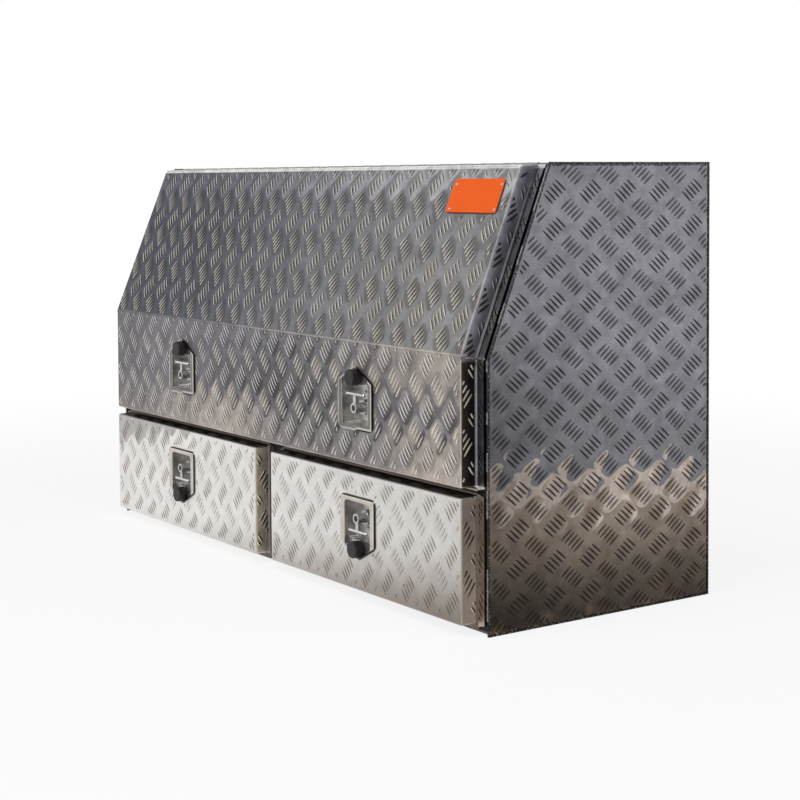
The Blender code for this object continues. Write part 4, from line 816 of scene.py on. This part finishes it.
def door_tone(look, cells, colours):
    """The upright part and the slope, with painted shade on the upright's sides, by the folds and
    on the underside, painted shadow on the lips' outer rims, painted light on the slope's lips,
    and painted highlights on the bends, the kink, the hem, the top edge and faces that look up.
    """
    ragged = look.cloud(26.0, 3.0, shift=(2.0, 0.0, 1.0))
    height = look.z + cells.tilt * TILT_SHIFT + ragged * 0.03
    tone = look.mix(look.z.step(*FRONT_SEAM),
                    upright_tone(look, cells, colours, ragged, height),
                    slope_tone(look, cells, colours, ragged, height))
    slanted = look.z.step(*SIDE_SEAM)
    side = look.mix(slanted, colours.door_dark, colours.door_side)
    lip = look.y.step(LIP_Y - 6 * MM, LIP_Y - 3 * MM) * look.z.step(0.49, 0.48)
    aside = abs(look.x)
    beside = aside.step(FRONT_X + 2 * MM, FRONT_X + 3 * MM)
    # Painted shade on the lip next to its fold
    fold = beside * aside.step(FRONT_X + 6 * MM, FRONT_X + 4.5 * MM)
    tone = look.paint(tone, (on_side(look), side), (lip, colours.door_side))
    # Painted light on the lips along the slope
    tone = look.times(tone, 1.0 + beside * slanted * 0.4)
    # Painted highlights on the bends, the kink and the hem
    bend = bends(look, OUT_OF_SLOPE) * aside.step(FRONT_X + 1 * MM, FRONT_X)
    kink = abs(look.z - PAN_KINK_Z).step(2.2 * MM, 0.8 * MM) * look.y.step(LIP_Y, PAN_Y)
    kink = kink * look.x.step(-0.40, 0.20, 0.10, 0.40)
    hem = look.z.step(DOOR_BOTTOM + 4 * MM, DOOR_BOTTOM + 2 * MM)
    # Painted highlight along the top edge and on faces that look up
    crown_highlight = look.z.step(DOOR_TOP - 8 * MM, DOOR_TOP - 6 * MM)
    crown_highlight = crown_highlight.at_least(look.up.step(0.55, 0.75)) * abs(look.side).step(0.6, 0.3)
    # Painted shade by the folds and on the underside, painted shadow on the lips' outer rims
    return look.paint(tone, (fold * 0.9, colours.door_dark),
                      (aside.step(DOOR_SHADOW_RIM_X, DOOR_SHADOW_RIM_X + 1 * MM), colours.shadow_and_grime),
                      ((bend * 0.6).at_least(kink).at_least(hem * 0.8), colours.highlight_and_nicks),
                      (crown_highlight, colours.crown_highlight), (look.up.step(-0.80, -0.95), colours.door_dark))


def drawer_tone(look, cells, colours):
    """Bright plate of painted reflection, warmer at its foot and towards the box's right end, with
    returns and lips painted lighter or darker against their shade, painted shade and shadow on
    folds, rims and tops, and painted highlights on the bends.
    """
    ragged = look.cloud(24.0, 3.0, shift=(2.0, 5.0, 1.0))
    height = look.z + (HALF_WIDTH - look.x) * 0.105 + ragged * 0.03
    clear = height.step(0.000, 0.185) * look.x.step(0.20, 0.70, 1.0, 0.80)
    front = look.times(look.mix(clear, colours.drawer_low, colours.drawer_sheet),
                       look.x.step(-0.25, 0.25, 1.0, 0.94))
    edge = look.z - SHADE_FOOT - (look.x + HALF_WIDTH) * 0.17 + cells.tilt * 0.020 + ragged * 0.05
    shady = edge.step(-0.004, 0.014) * look.x.step(-0.25, -0.32)
    right = look.x.step(0.2, 0.5)
    deep = look.y.step(PAN_Y, LIP_Y)
    # Painted shade deeper in the other returns; painted light deeper and lower on the right end's
    # return
    level = (1.0 - deep * 0.40) * (1.0 - right)
    level = level + (1.10 + deep * 1.1) * look.z.step(0.22, 0.04, 0.95, 1.5) * right
    side = look.times(look.mix(right, colours.split_side, colours.drawer_side),
                      level + ragged * 1.2)
    lip = look.y.step(LIP_Y - 3 * MM, LIP_Y - 1 * MM)
    aside = abs(look.x)
    fold = right * look.y.step(LIP_Y - 5 * MM, LIP_Y - 3 * MM)
    fold = fold * aside.step(FRONT_X + 4 * MM, FRONT_X + 2.5 * MM)
    bend = bends(look) * look.y.step(LIP_Y - 8 * MM, LIP_Y - 12 * MM)
    # Painted light on the right end's lip and darker lips elsewhere; painted shade on the fold and
    # on the tops in the gap under the door; painted shadow on the lips' outer rims; painted
    # highlights on the bends
    return look.paint(front, (shady * 0.7, colours.drawer_shade), (on_side(look), side),
                      (lip, look.times(colours.drawer_side, 0.7 + right * 2.0)),
                      (fold * 0.7, colours.shadow_and_grime),
                      (aside.step(DRAWER_SHADOW_RIM_X, DRAWER_SHADOW_RIM_X + 1 * MM), colours.shadow_and_grime),
                      (look.up.step(0.45, 0.85) * 0.85, colours.shadow_and_grime),
                      (bend * 0.3, colours.highlight_and_nicks))


def plain_tone(look, cells, colours):
    return look.times(colours.plain_sheet, 1.0 - cells.group * 0.08)


def outer_face(look, part):
    """1 on the face that carries the bars, 0 on the smooth inner face of a panel."""
    place, ground = {"roof": (look.z, ROOF_HIGH.z), "back": (look.y, BACK_HIGH.y)}.get(
        part, (abs(look.x), END_GROUND_X))
    outside = place.step(ground - 2.0 * MM, ground - 1.5 * MM)
    if not part.startswith("end"):
        return outside
    slant = (look.z - KINK_Z).at_least(0.0) * math.tan(SLOPE)
    jamb = (look.y - slant).step(LIP_Y + 45 * MM, LIP_Y + 40 * MM)
    return outside.at_least(jamb)


def base_tone(look, part, pattern, colours):
    """The colour of a part's plate, with the painted reflections, highlights and shade of the end
    panels, door and drawers, and the clouds that handling and rolling leave.
    """
    cells = Cells(look, part, pattern)
    family = {"end": end_tone, "door": door_tone, "drawer": drawer_tone}
    tone = family.get(part.split("_")[0], plain_tone)(look, cells, colours)
    cloud = look.cloud(11.0, 4.0, shift=(1.0, 6.0, 4.0))
    blotch = look.cloud(48.0, 4.0, shift=(8.0, 1.0, 2.0))
    level = 0.22 if part.startswith("drawer") else 0.75
    return cells, look.times(tone, 1.0 + cloud * level + blotch * level * 1.2)


def sheet_finish(part, pattern, colours):
    """Rolled aluminium: clouds, rolling streaks, fine scratches and a slight quilting."""
    look = Finish(f"plate_{part}")
    family = part.split("_")[0]
    cells, tone = base_tone(look, part, pattern, colours)
    streak = look.cloud(60.0, 2.0, stretch=(0.06, 0.06, 1.0))
    speck = look.cloud(420.0, 2.0)
    grain = 0.14 if family == "drawer" else 0.34
    tone = look.times(tone, 1.0 + streak * grain + speck * grain)
    dome = cells.dome
    if family == "drawer":
        spots = look.noise(75.0, 2.0, shift=(4.0, 4.0, 9.0)).step(0.69, 0.75)
        tone = look.mix(spots * cells.group * 0.6, tone, colours.dirt)
        metallic = on_side(look, 1.0, 0.25)
    elif family == "door":
        metallic = look.up.step(0.55, 0.75, 1.0, 0.1)
    else:
        if family == "end":
            tone = edge_grime(look, tone, colours)
        outer = outer_face(look, part)
        dome = dome * outer
        inner = look.times(colours.plain_sheet, 1.0 + streak * 0.2 + speck * 0.2)
        tone = look.mix(outer, inner, tone)
        metallic = outer * 0.5 + 0.5
    smudge = look.noise(14.0, 5.0, shift=(7.0, 3.0, 1.0))
    rough = 0.28 + smudge * 0.18 + streak * 0.08
    height = dome + look.noise(30.0, 2.0) * 0.35 + speck * 0.04
    return look.surface(tone, rough, metallic, look.bump(height, 0.6 * MM, 0.7))


def edge_grime(look, tone, colours):
    """Dark, rough edges all round an end panel, with bright nicks."""
    rim = abs(look.x).step(END_GROUND_X + 0.4 * MM, END_GROUND_X + 0.9 * MM)
    ragged = look.cloud(120.0, 3.0) * 0.008
    below = (look.z + ragged).step(0.007, 0.003)
    above = (look.z + ragged).step(END_HIGH.z - 0.009, END_HIGH.z - 0.005)
    behind = (look.y + ragged).step(END_HIGH.y - 0.008, END_HIGH.y - 0.004)
    border = rim.at_least(below).at_least(above).at_least(behind)
    nick = look.noise(260.0, 2.0, shift=(2.0, 8.0, 5.0)).step(0.54, 0.68)
    worn = look.mix(nick * 0.35, colours.shadow_and_grime, colours.highlight_and_nicks)
    return look.mix(border * 0.85, tone, worn)


def bar_finish(name, part, pattern, colours):
    """Bars whose crest takes the bar's tone, a painted reflection, with a painted highlight on the
    flank towards the painted light and painted shade on the other, tinted with dirt on the
    drawers.
    """
    look = Finish(name)
    # Directions of the painted light on the bars' flanks, on fronts and on sides
    along_front = look.toward((-0.96, 0.0, -0.28))
    along_side = look.toward((0.0, -0.96, -0.28))
    look.face(look.attribute("out")["Vector"])
    turned = abs(look.side).step(0.5, 0.8)
    lit = along_front * (1.0 - turned) + along_side * turned
    _, tone = base_tone(look, part, pattern, colours)
    given = look.attribute("tone")
    low, high, own = look.parts(look.attribute("flanks")["Vector"])
    speck = look.cloud(160.0, 2.0)
    crest = look.mix(given["Alpha"], tone, given["Color"])
    crest = look.times(crest, 1.0 + speck * 0.6)
    # Painted highlight on the flank that faces the painted light
    bright = look.times(look.mix(own, tone, crest), high)
    edge = 0.36 if part.startswith("end") else 0.20
    mixed = look.mix(lit.step(edge, edge + 0.25), crest, bright)
    shadow = look.times(tone, low)
    if part.startswith("drawer"):
        # On the drawers the painted shade on the flank is tinted with the dirt colour
        shadow = look.mix(abs(look.side).step(0.8, 0.5) * 0.6, shadow, colours.dirt)
    mixed = look.mix(lit.step(-0.20, -0.45), mixed, shadow)
    return look.surface(mixed, 0.32 + speck * 0.12, 1.0)


def plain_metal(name, code, roughness, metallic=1.0):
    look = Finish(name)
    cloud = look.cloud(12.0, 4.0)
    streak = look.cloud(90.0, 2.0, stretch=(0.05, 1.0, 1.0))
    shade = look.times(linear(code), 1.0 + cloud * 0.30 + streak * 0.12)
    return look.surface(shade, roughness + cloud * 0.12, metallic,
                        look.bump(streak, 0.05 * MM, 0.5))


def speckled(name, code, scale, detail, roughness, metallic):
    """One colour with specks that change its gloss too."""
    look = Finish(name)
    speck = look.cloud(scale, detail)
    tone = look.times(linear(code), 1.0 + speck * 0.4)
    return look.surface(tone, roughness + speck * 0.1, metallic)


def wear(starts, finish):
    """Give a finish to the CAD nodes whose names start in one of the given ways."""
    for name in NODES:
        if name.startswith(starts):
            for slot in NODES[name].material_slots:
                slot.material = finish


class ToolboxSheetFinish(Operator):
    """Finish the sheets of tread plate"""
    bl_idname = "toolbox.sheet_finish"
    bl_label = "Tread plate finish"

    def execute(self, context):
        colours = context.scene.toolbox_colours
        patterns = tread_patterns(context.scene.toolbox_sizes)
        nodes = {"end_left": "end_panel_left", "end_right": "end_panel_right", "door": "door_skin",
                 "drawer_left": "drawer_front_left", "drawer_right": "drawer_front_right",
                 "roof": "roof_panel", "back": "back_panel"}
        for part, node in nodes.items():
            wear(node, sheet_finish(part, patterns[part], colours))
        return {"FINISHED"}


class ToolboxInnerMetal(Operator):
    """Finish the frame, shelf, trays, slides, hinge and struts"""
    bl_idname = "toolbox.inner_metal"
    bl_label = "Inner metal"

    def execute(self, context):
        wear(("header_rail", "mid_shelf", "drawer_divider", "door_stiffener", "drawer_tray"),
             plain_metal("mill_aluminium", "A9AAAE", 0.38, metallic=0.45))
        wear("floor_panel", plain_metal("sill_aluminium", "6E6862", 0.42))
        wear(("slide_", "strut_bracket", "strut_stud", "latch_cam"),
             plain_metal("zinc_plating", "A3A6AA", 0.34))
        wear(("hinge_", "strut_rod"), plain_metal("drawn_stainless", "B5B3B0", 0.26))
        wear("strut_cylinder", speckled("strut_enamel", "17181A", 260.0, 2.0, 0.36, 0.0))
        return {"FINISHED"}


class ToolboxSeals(Operator):
    """Finish the rubber seals"""
    bl_idname = "toolbox.seals"
    bl_label = "Rubber seals"

    def execute(self, context):
        look = Finish("seal_rubber")
        cloud = look.cloud(40.0, 4.0)
        tone = look.times(linear("0D0D0E"), 1.0 + cloud * 0.5)
        wear(("door_seal", "drawer_seal"),
             look.surface(tone, 0.72 + cloud * 0.1, 0.0,
                          look.bump(look.cloud(900.0, 2.0), 0.1 * MM, 0.4)))
        return {"FINISHED"}


# Lines of painted highlight, painted shadow and a painted glint on a latch pan, as distances
# inward from its outline
PAN_MOUTH = (13.5 * MM, 14.5 * MM)
PAN_EDGE = (4.0 * MM, 3.0 * MM)
SHADOW_LINE = (3.6 * MM, 2.8 * MM)
HIGHLIGHT_LINE = (7.5 * MM, 6.0 * MM)
GLINT_PLACE = 20.0 * MM


def latch_pan_finish(name, up, rim, deep, colours):
    """Stainless pan: a toned rim with painted highlight lines along its edges and the recess's
    mouth, a painted black shadow line, and a grey recess with a painted glint.
    """
    face_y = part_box(f"latch_pan_{name}")[0].y
    centre = latch_centre(name)
    look = Finish(f"latch_pan_{name}")
    cloud = look.cloud(26.0, 4.0)
    streak = look.cloud(120.0, 2.0, stretch=(0.08, 1.0, 1.0))
    across = look.x - centre[0]
    along = (look.z - centre[1]) * up
    apart = LATCH_APEX - LATCH_SHOULDER
    slant = math.hypot(LATCH_HALF_WIDTH, apart)
    reach = LATCH_HALF_WIDTH - abs(across)
    point = reach * (apart / slant) + (LATCH_SHOULDER - along) * (LATCH_HALF_WIDTH / slant)
    inward = reach.at_most(along + LATCH_FLAT_END).at_most(point)
    face = look.y.step(face_y + 1.0 * MM, face_y + 0.3 * MM)
    wall = look.y.step(face_y + 0.5 * MM, face_y + 6.0 * MM)
    flat = 1.0 - wall
    # Painted highlights along the recess's mouth and the plate's outer edge
    edges = inward.step(*PAN_MOUTH).at_least(inward.step(*PAN_EDGE))
    # A painted glint in the recess
    glint = abs(inward - GLINT_PLACE).step(2.2 * MM, 1.2 * MM)
    glint = glint * (along - across * 0.6).step(0.020, -0.005)
    right = across.step(0.0, 8.0 * MM)
    if up < 0:
        right = right.at_least(along.step(-0.030, -0.034))
    # A painted black shadow line and a painted highlight line on the right side, and on the
    # drawers at the top
    black = inward.step(*SHADOW_LINE) * right
    bright = inward.step(*HIGHLIGHT_LINE) * right
    tone = look.paint(rim, (wall, deep), (edges * flat * 0.55, colours.highlight_and_nicks),
                      (glint * wall * 0.75, colours.highlight_and_nicks),
                      (bright * face * 0.8, colours.highlight_and_nicks), (black * flat, colours.shadow_and_grime))
    tone = look.times(tone, 1.0 + cloud * 0.80 + streak * 0.14)
    return look.surface(tone, 0.28 + cloud * 0.12 - wall * 0.12, 0.9 - wall * 0.2,
                        look.bump(streak, 0.008 * MM, 0.5))


class ToolboxLatches(Operator):
    """Finish the latch pans, handles, key plugs and push buttons"""
    bl_idname = "toolbox.latches"
    bl_label = "Latches"

    def execute(self, context):
        colours = context.scene.toolbox_colours
        for owner, up, rim, dish in (("door", 1.0, "777573", "B2B0AE"),
                                     ("drawer", -1.0, "C6BFB8", "ACAAA8")):
            for side, _ in SIDES:
                name = f"{owner}_{side}"
                finish = latch_pan_finish(name, up, linear(rim), linear(dish), colours)
                wear(f"latch_pan_{name}", finish)
        look = Finish("handle_steel")
        cloud = look.cloud(60.0, 4.0)
        # Painted shade on the handle's undersides
        tone = look.times(linear("F8F6F2"), 1.0 + cloud * 0.3, look.up.step(-0.4, 0.5, 0.32, 1.0))
        wear("t_handle", look.surface(tone, 0.26 + cloud * 0.14, 0.85,
                                      look.bump(cloud, 0.15 * MM, 0.3)))
        # The plug's face is painted dark as the keyhole's shade
        wear("key_plug", speckled("key_plug_nickel", "4A4643", 90.0, 3.0, 0.3, 1.0))
        look = Finish("button_rubber")
        grain = look.cloud(700.0, 2.0)
        dust = look.noise(50.0, 4.0).step(0.5, 0.8)
        wear("push_button", look.surface(look.mix(dust, linear("151516"), linear("2E2D2C")),
                                         0.55 + grain * 0.1, 0.0,
                                         look.bump(grain, 0.1 * MM, 0.4)))
        return {"FINISHED"}


PLATE_GAP = 0.3 * MM
PLATE_FACE = 1.0 * MM
PLATE_INSET = 9.0 * MM
RIVET_SINK = 0.2 * MM


class ToolboxPlate(Operator):
    """Finish the plain plate on the slope and give it rivets"""
    bl_idname = "toolbox.plate"
    bl_label = "Plate on the slope"

    def execute(self, context):
        sizes = context.scene.toolbox_sizes
        colours = context.scene.toolbox_colours
        low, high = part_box("name_plate")
        look = Finish("plate_enamel")
        cloud = look.cloud(18.0, 4.0)
        # Painted shadow along the plate's right and bottom edges
        rim = look.x.step(high.x - 3.5 * MM, high.x - 2.0 * MM)
        rim = rim.at_least(look.z.step(low.z + 3.0 * MM, low.z + 2.0 * MM))
        tone = look.times(look.mix(rim * 0.85, colours.plate, colours.shadow_and_grime),
                          1.0 + cloud * 0.18)
        wear("name_plate", look.surface(tone, 0.46 + cloud * 0.12, 0.0,
                                        look.bump(look.noise(500.0, 2.0), 0.04 * MM, 0.4),
                                        {"Specular IOR Level": 0.2}))
        rise = (high.z - low.z - 2 * MM) / math.cos(SLOPE)
        stamps = []
        for x in (low.x + PLATE_INSET, high.x - PLATE_INSET):
            for along in (PLATE_INSET, rise - PLATE_INSET):
                spot = plate_foot(low.z) + UP_SLOPE * along + OUT_OF_SLOPE * PLATE_FACE
                stamps.append(Stamp(Vector((x, spot.y, spot.z)), X, OUT_OF_SLOPE))
        wide = 2 * sizes.rivet_radius
        piece = stamped("plate_rivets", stamps, "door",
                        plain_metal("rivet_metal", "C8C6C2", 0.28),
                        (wide, wide, sizes.rivet_height, RIVET_SINK), RIVET_BALL)
        return {"FINISHED"}


def plate_foot(height):
    """The plate's lower edge, on its face that lies on the slope."""
    out = PROUD + PLATE_GAP
    along = (height - KINK_Z - out * math.sin(SLOPE)) / math.cos(SLOPE)
    return Vector((0, LIP_Y, KINK_Z)) + UP_SLOPE * along + OUT_OF_SLOPE * out


# How much the ripples of a weld differ: aside, in size, in width and in brightness
BEAD_DRIFT = 0.4 * MM
BEAD_SIZES = (0.85, 1.15)
BEAD_WIDTHS = (0.85, 1.1)
BEAD_LEVELS = (0.55, 1.0)
BEAD_SINK = 0.8 * MM


def run_of_beads(start, end, out, sizes, chance):
    """Weld ripples from one point to another."""
    heading = end - start
    count = max(2, round(heading.length / sizes.bead_pitch))
    along = heading.normalized()
    across = out.cross(along)
    stamps = []
    for index in range(count + 1):
        drift = across * chance.uniform(-BEAD_DRIFT, BEAD_DRIFT)
        size = chance.uniform(*BEAD_SIZES)
        level = chance.uniform(*BEAD_LEVELS)
        stamps.append(Stamp(start + heading * index / count + drift, along, out,
                            (size, chance.uniform(*BEAD_WIDTHS), size),
                            (level, level, level)))
    return stamps


# Stretches of weld on an end panel's front edge, from its foot and from the kink
UPRIGHT_WELDS = ((0.030, 0.120), (0.215, 0.262), (0.300, 0.330), (0.385, 0.402), (0.478, 0.495))
SLOPE_WELDS = ((0.070, 0.105), (0.180, 0.215), (0.285, 0.365))
WELD_INSET = 3.9 * MM
WELD_ENDS = 4 * MM


def end_welds(sign, bead_height):
    """Start, end and outward direction of the welds on an end panel."""
    edge = sign * (END_HIGH.x - WELD_INSET)
    top = END_HIGH.z - bead_height - 0.4 * MM
    foot = Vector((edge, LIP_Y, 0))
    kink = Vector((edge, LIP_Y, KINK_Z))
    lines = [(Vector((edge, LIP_Y + SETBACK + WELD_ENDS, top)),
              Vector((edge, END_HIGH.y - WELD_ENDS, top)), Z)]
    lines += [(foot + Z * low, foot + Z * high, -Y) for low, high in UPRIGHT_WELDS]
    lines += [(kink + UP_SLOPE * low, kink + UP_SLOPE * high, OUT_OF_SLOPE)
              for low, high in SLOPE_WELDS]
    return lines


def door_welds():
    """Start, end and outward direction of the welds across the door's bends."""
    lines = []
    for _, sign in SIDES:
        corner = Vector((sign * FRONT_X, PAN_Y + 3 * MM, KINK_Z + 3 * MM))
        deep = Vector((sign * FRONT_X, LIP_Y - 1 * MM, KINK_Z))
        rim = Vector((sign * (FRONT_X + SIDE_LIP - 2 * MM), LIP_Y, KINK_Z))
        lines += [(corner, deep, sign * X), (deep + Vector((sign * 2 * MM, -1 * MM, 0)), rim, -Y)]
    return lines


class ToolboxWelds(Operator):
    """Lay the weld beads along the end panels and across the door's bends"""
    bl_idname = "toolbox.welds"
    bl_label = "Weld beads"

    def execute(self, context):
        sizes = context.scene.toolbox_sizes
        chance = random.Random(WELD_SEED)
        look = Finish("weld_metal")
        speck = look.cloud(200.0, 3.0)
        tone = look.mix(1.0, context.scene.toolbox_colours.weld, look.attribute("tone")["Color"],
                        "MULTIPLY")
        finish = look.surface(look.times(tone, 1.0 + speck * 0.6), 0.34 + speck * 0.2, 1.0)
        bead = (sizes.bead_pitch * 2.2, sizes.bead_width, sizes.bead_height, BEAD_SINK)
        jobs = [(f"end_{side}", "cabinet", end_welds(sign, sizes.bead_height))
                for side, sign in SIDES]
        for part, body, lines in (*jobs, ("door", "door", door_welds())):
            stamps = []
            for start, end, out in lines:
                stamps += run_of_beads(start, end, out, sizes, chance)
            piece = stamped(f"weld_beads_{part}", stamps, body, finish, bead, BEAD_BALL)
        return {"FINISHED"}


# Studio
CAMERA_SPOT = Vector((3.070831, -2.114998, 0.820636))
CAMERA_YAW = 0.97559005
CAMERA_PITCH = -0.04707663
CAMERA_ROLL = -0.00681704
CAMERA_LENS = 76.154
CAMERA_SHIFT = (0.05183, -0.17619)
CAMERA_SENSOR = 36.0
CAMERA_CLIP = (0.05, 100.0)
KEY_SPOT, KEY_AIM = (0.6, -2.2, 4.6), (0, 0, 0.3)
FILL_SPOT, FILL_AIM = (3.6, 1.6, 4.2), (0.3, 0, 0.3)
LAMP_SIZE = 2.6
SKY_RISE = (0.12, 0.75)
FLOOR_FADE = (1.1, 3.2)
FLOOR_Z = -0.001
WHITE = (1.0, 1.0, 1.0)


def place_camera():
    data = bpy.data.cameras.new("photo_camera")
    data.lens = CAMERA_LENS
    data.sensor_width = CAMERA_SENSOR
    data.shift_x, data.shift_y = CAMERA_SHIFT
    data.clip_start, data.clip_end = CAMERA_CLIP
    ahead = Vector((-math.sin(CAMERA_YAW) * math.cos(CAMERA_PITCH),
                    math.cos(CAMERA_YAW) * math.cos(CAMERA_PITCH), math.sin(CAMERA_PITCH)))
    right = Vector((math.cos(CAMERA_YAW), math.sin(CAMERA_YAW), 0))
    above = right.cross(ahead)
    rolled = right * math.cos(CAMERA_ROLL) + above * math.sin(CAMERA_ROLL)
    raised = above * math.cos(CAMERA_ROLL) - right * math.sin(CAMERA_ROLL)
    turn = Matrix((rolled, raised, -ahead)).transposed().to_4x4()
    camera = bpy.data.objects.new("photo_camera", data)
    camera.matrix_world = Matrix.Translation(CAMERA_SPOT) @ turn
    bpy.context.scene.collection.objects.link(camera)
    bpy.context.scene.camera = camera


def add_lamp(name, spot, aim, power):
    data = bpy.data.lights.new(name, "AREA")
    data.shape = "RECTANGLE"
    data.size = data.size_y = LAMP_SIZE
    data.energy = power
    lamp = bpy.data.objects.new(name, data)
    lamp.location = spot
    lamp.rotation_euler = (Vector(spot) - Vector(aim)).to_track_quat("Z", "Y").to_euler()
    bpy.context.scene.collection.objects.link(lamp)


def seen_white(tree):
    """1 for the rays that show the white background: seen, mirrored or looked through."""
    path = tree.node("ShaderNodeLightPath").outputs
    camera, glossy, clear = [Number(tree, path[f"Is {kind} Ray"])
                             for kind in ("Camera", "Glossy", "Transmission")]
    return camera.at_least(glossy).at_least(clear)


class ToolboxStudio(Operator):
    """Set up the pale floor, the soft lamps, the world and the camera"""
    bl_idname = "toolbox.studio"
    bl_label = "Studio"

    def execute(self, context):
        scene = context.scene
        levels = scene.studio_levels
        scene.view_settings.view_transform = "Standard"
        scene.world = bpy.data.worlds.new("studio_world")
        scene.world.use_nodes = True
        sky = Tree(scene.world.node_tree)
        rise = sky.parts(sky.node("ShaderNodeTexCoord").outputs["Generated"])[2]
        shade = levels.sky_shade
        tone = sky.mix(rise.step(*SKY_RISE), WHITE, (shade, shade * 1.01, shade * 1.06))
        level = seen_white(sky) * (1.0 - levels.world_light) + levels.world_light
        back = sky.node("ShaderNodeBackground", {"Color": tone, "Strength": level})
        sky.node("ShaderNodeOutputWorld", {"Surface": back.outputs[0]})
        self.add_floor(levels, scene.toolbox_sizes.floor_radius)
        add_lamp("key_lamp", KEY_SPOT, KEY_AIM, levels.key_power)
        add_lamp("fill_lamp", FILL_SPOT, FILL_AIM, levels.fill_power)
        place_camera()
        return {"FINISHED"}

    def add_floor(self, levels, radius):
        bm = bmesh.new()
        bmesh.ops.create_grid(bm, x_segments=8, y_segments=8, size=radius)
        mesh = bpy.data.meshes.new("studio_floor")
        bm.to_mesh(mesh)
        bm.free()
        floor = bpy.data.objects.new("studio_floor", mesh)
        floor.location = (0, 0, FLOOR_Z)
        bpy.context.scene.collection.objects.link(floor)
        look = Finish("studio_floor")
        away = (look.x * look.x + look.y * look.y).root()
        amount = seen_white(look) * away.step(*FLOOR_FADE, levels.floor_glow, 1.0)
        tone = levels.floor_tone
        matt = look.node("ShaderNodeBsdfDiffuse", {"Color": (tone, tone, tone)})
        glow = look.node("ShaderNodeEmission", {"Color": WHITE, "Strength": 1.0})
        both = look.node("ShaderNodeMixShader",
                         {0: amount, 1: matt.outputs[0], 2: glow.outputs[0]})
        look.node("ShaderNodeOutputMaterial", {"Surface": both.outputs[0]})
        mesh.materials.append(look.material)


STEPS = (ToolboxStudio, ToolboxSheetFinish, ToolboxInnerMetal, ToolboxSeals, ToolboxLatches,
         ToolboxPlate, ToolboxTreadBars, ToolboxWelds)


class ToolboxPanel(Panel):
    """Lists the steps that dress the toolbox"""
    bl_idname = "VIEW3D_PT_toolbox"
    bl_label = "Toolbox"
    bl_space_type = "VIEW_3D"
    bl_region_type = "UI"
    bl_category = "Toolbox"

    def draw(self, context):
        for step in STEPS:
            self.layout.operator(step.bl_idname)
        for group in (context.scene.toolbox_sizes, context.scene.toolbox_colours,
                      context.scene.studio_levels):
            box = self.layout.box()
            for field in group.__annotations__:
                box.prop(group, field)


GROUPS = (("toolbox_sizes", ToolboxSizes), ("toolbox_colours", ToolboxColours),
          ("studio_levels", StudioLevels))


def register():
    for _, group in GROUPS:
        bpy.utils.register_class(group)
    for step in STEPS:
        bpy.utils.register_class(step)
    bpy.utils.register_class(ToolboxPanel)
    for name, group in GROUPS:
        setattr(bpy.types.Scene, name, PointerProperty(type=group))


def unregister():
    for name, _ in GROUPS:
        delattr(bpy.types.Scene, name)
    bpy.utils.unregister_class(ToolboxPanel)
    for step in reversed(STEPS):
        bpy.utils.unregister_class(step)
    for _, group in reversed(GROUPS):
        bpy.utils.unregister_class(group)


def main():
    register()
    for step in STEPS:
        family, action = step.bl_idname.split(".")
        getattr(getattr(bpy.ops, family), action)()
    bpy.context.view_layer.update()


if __name__ == "__main__":
    main()
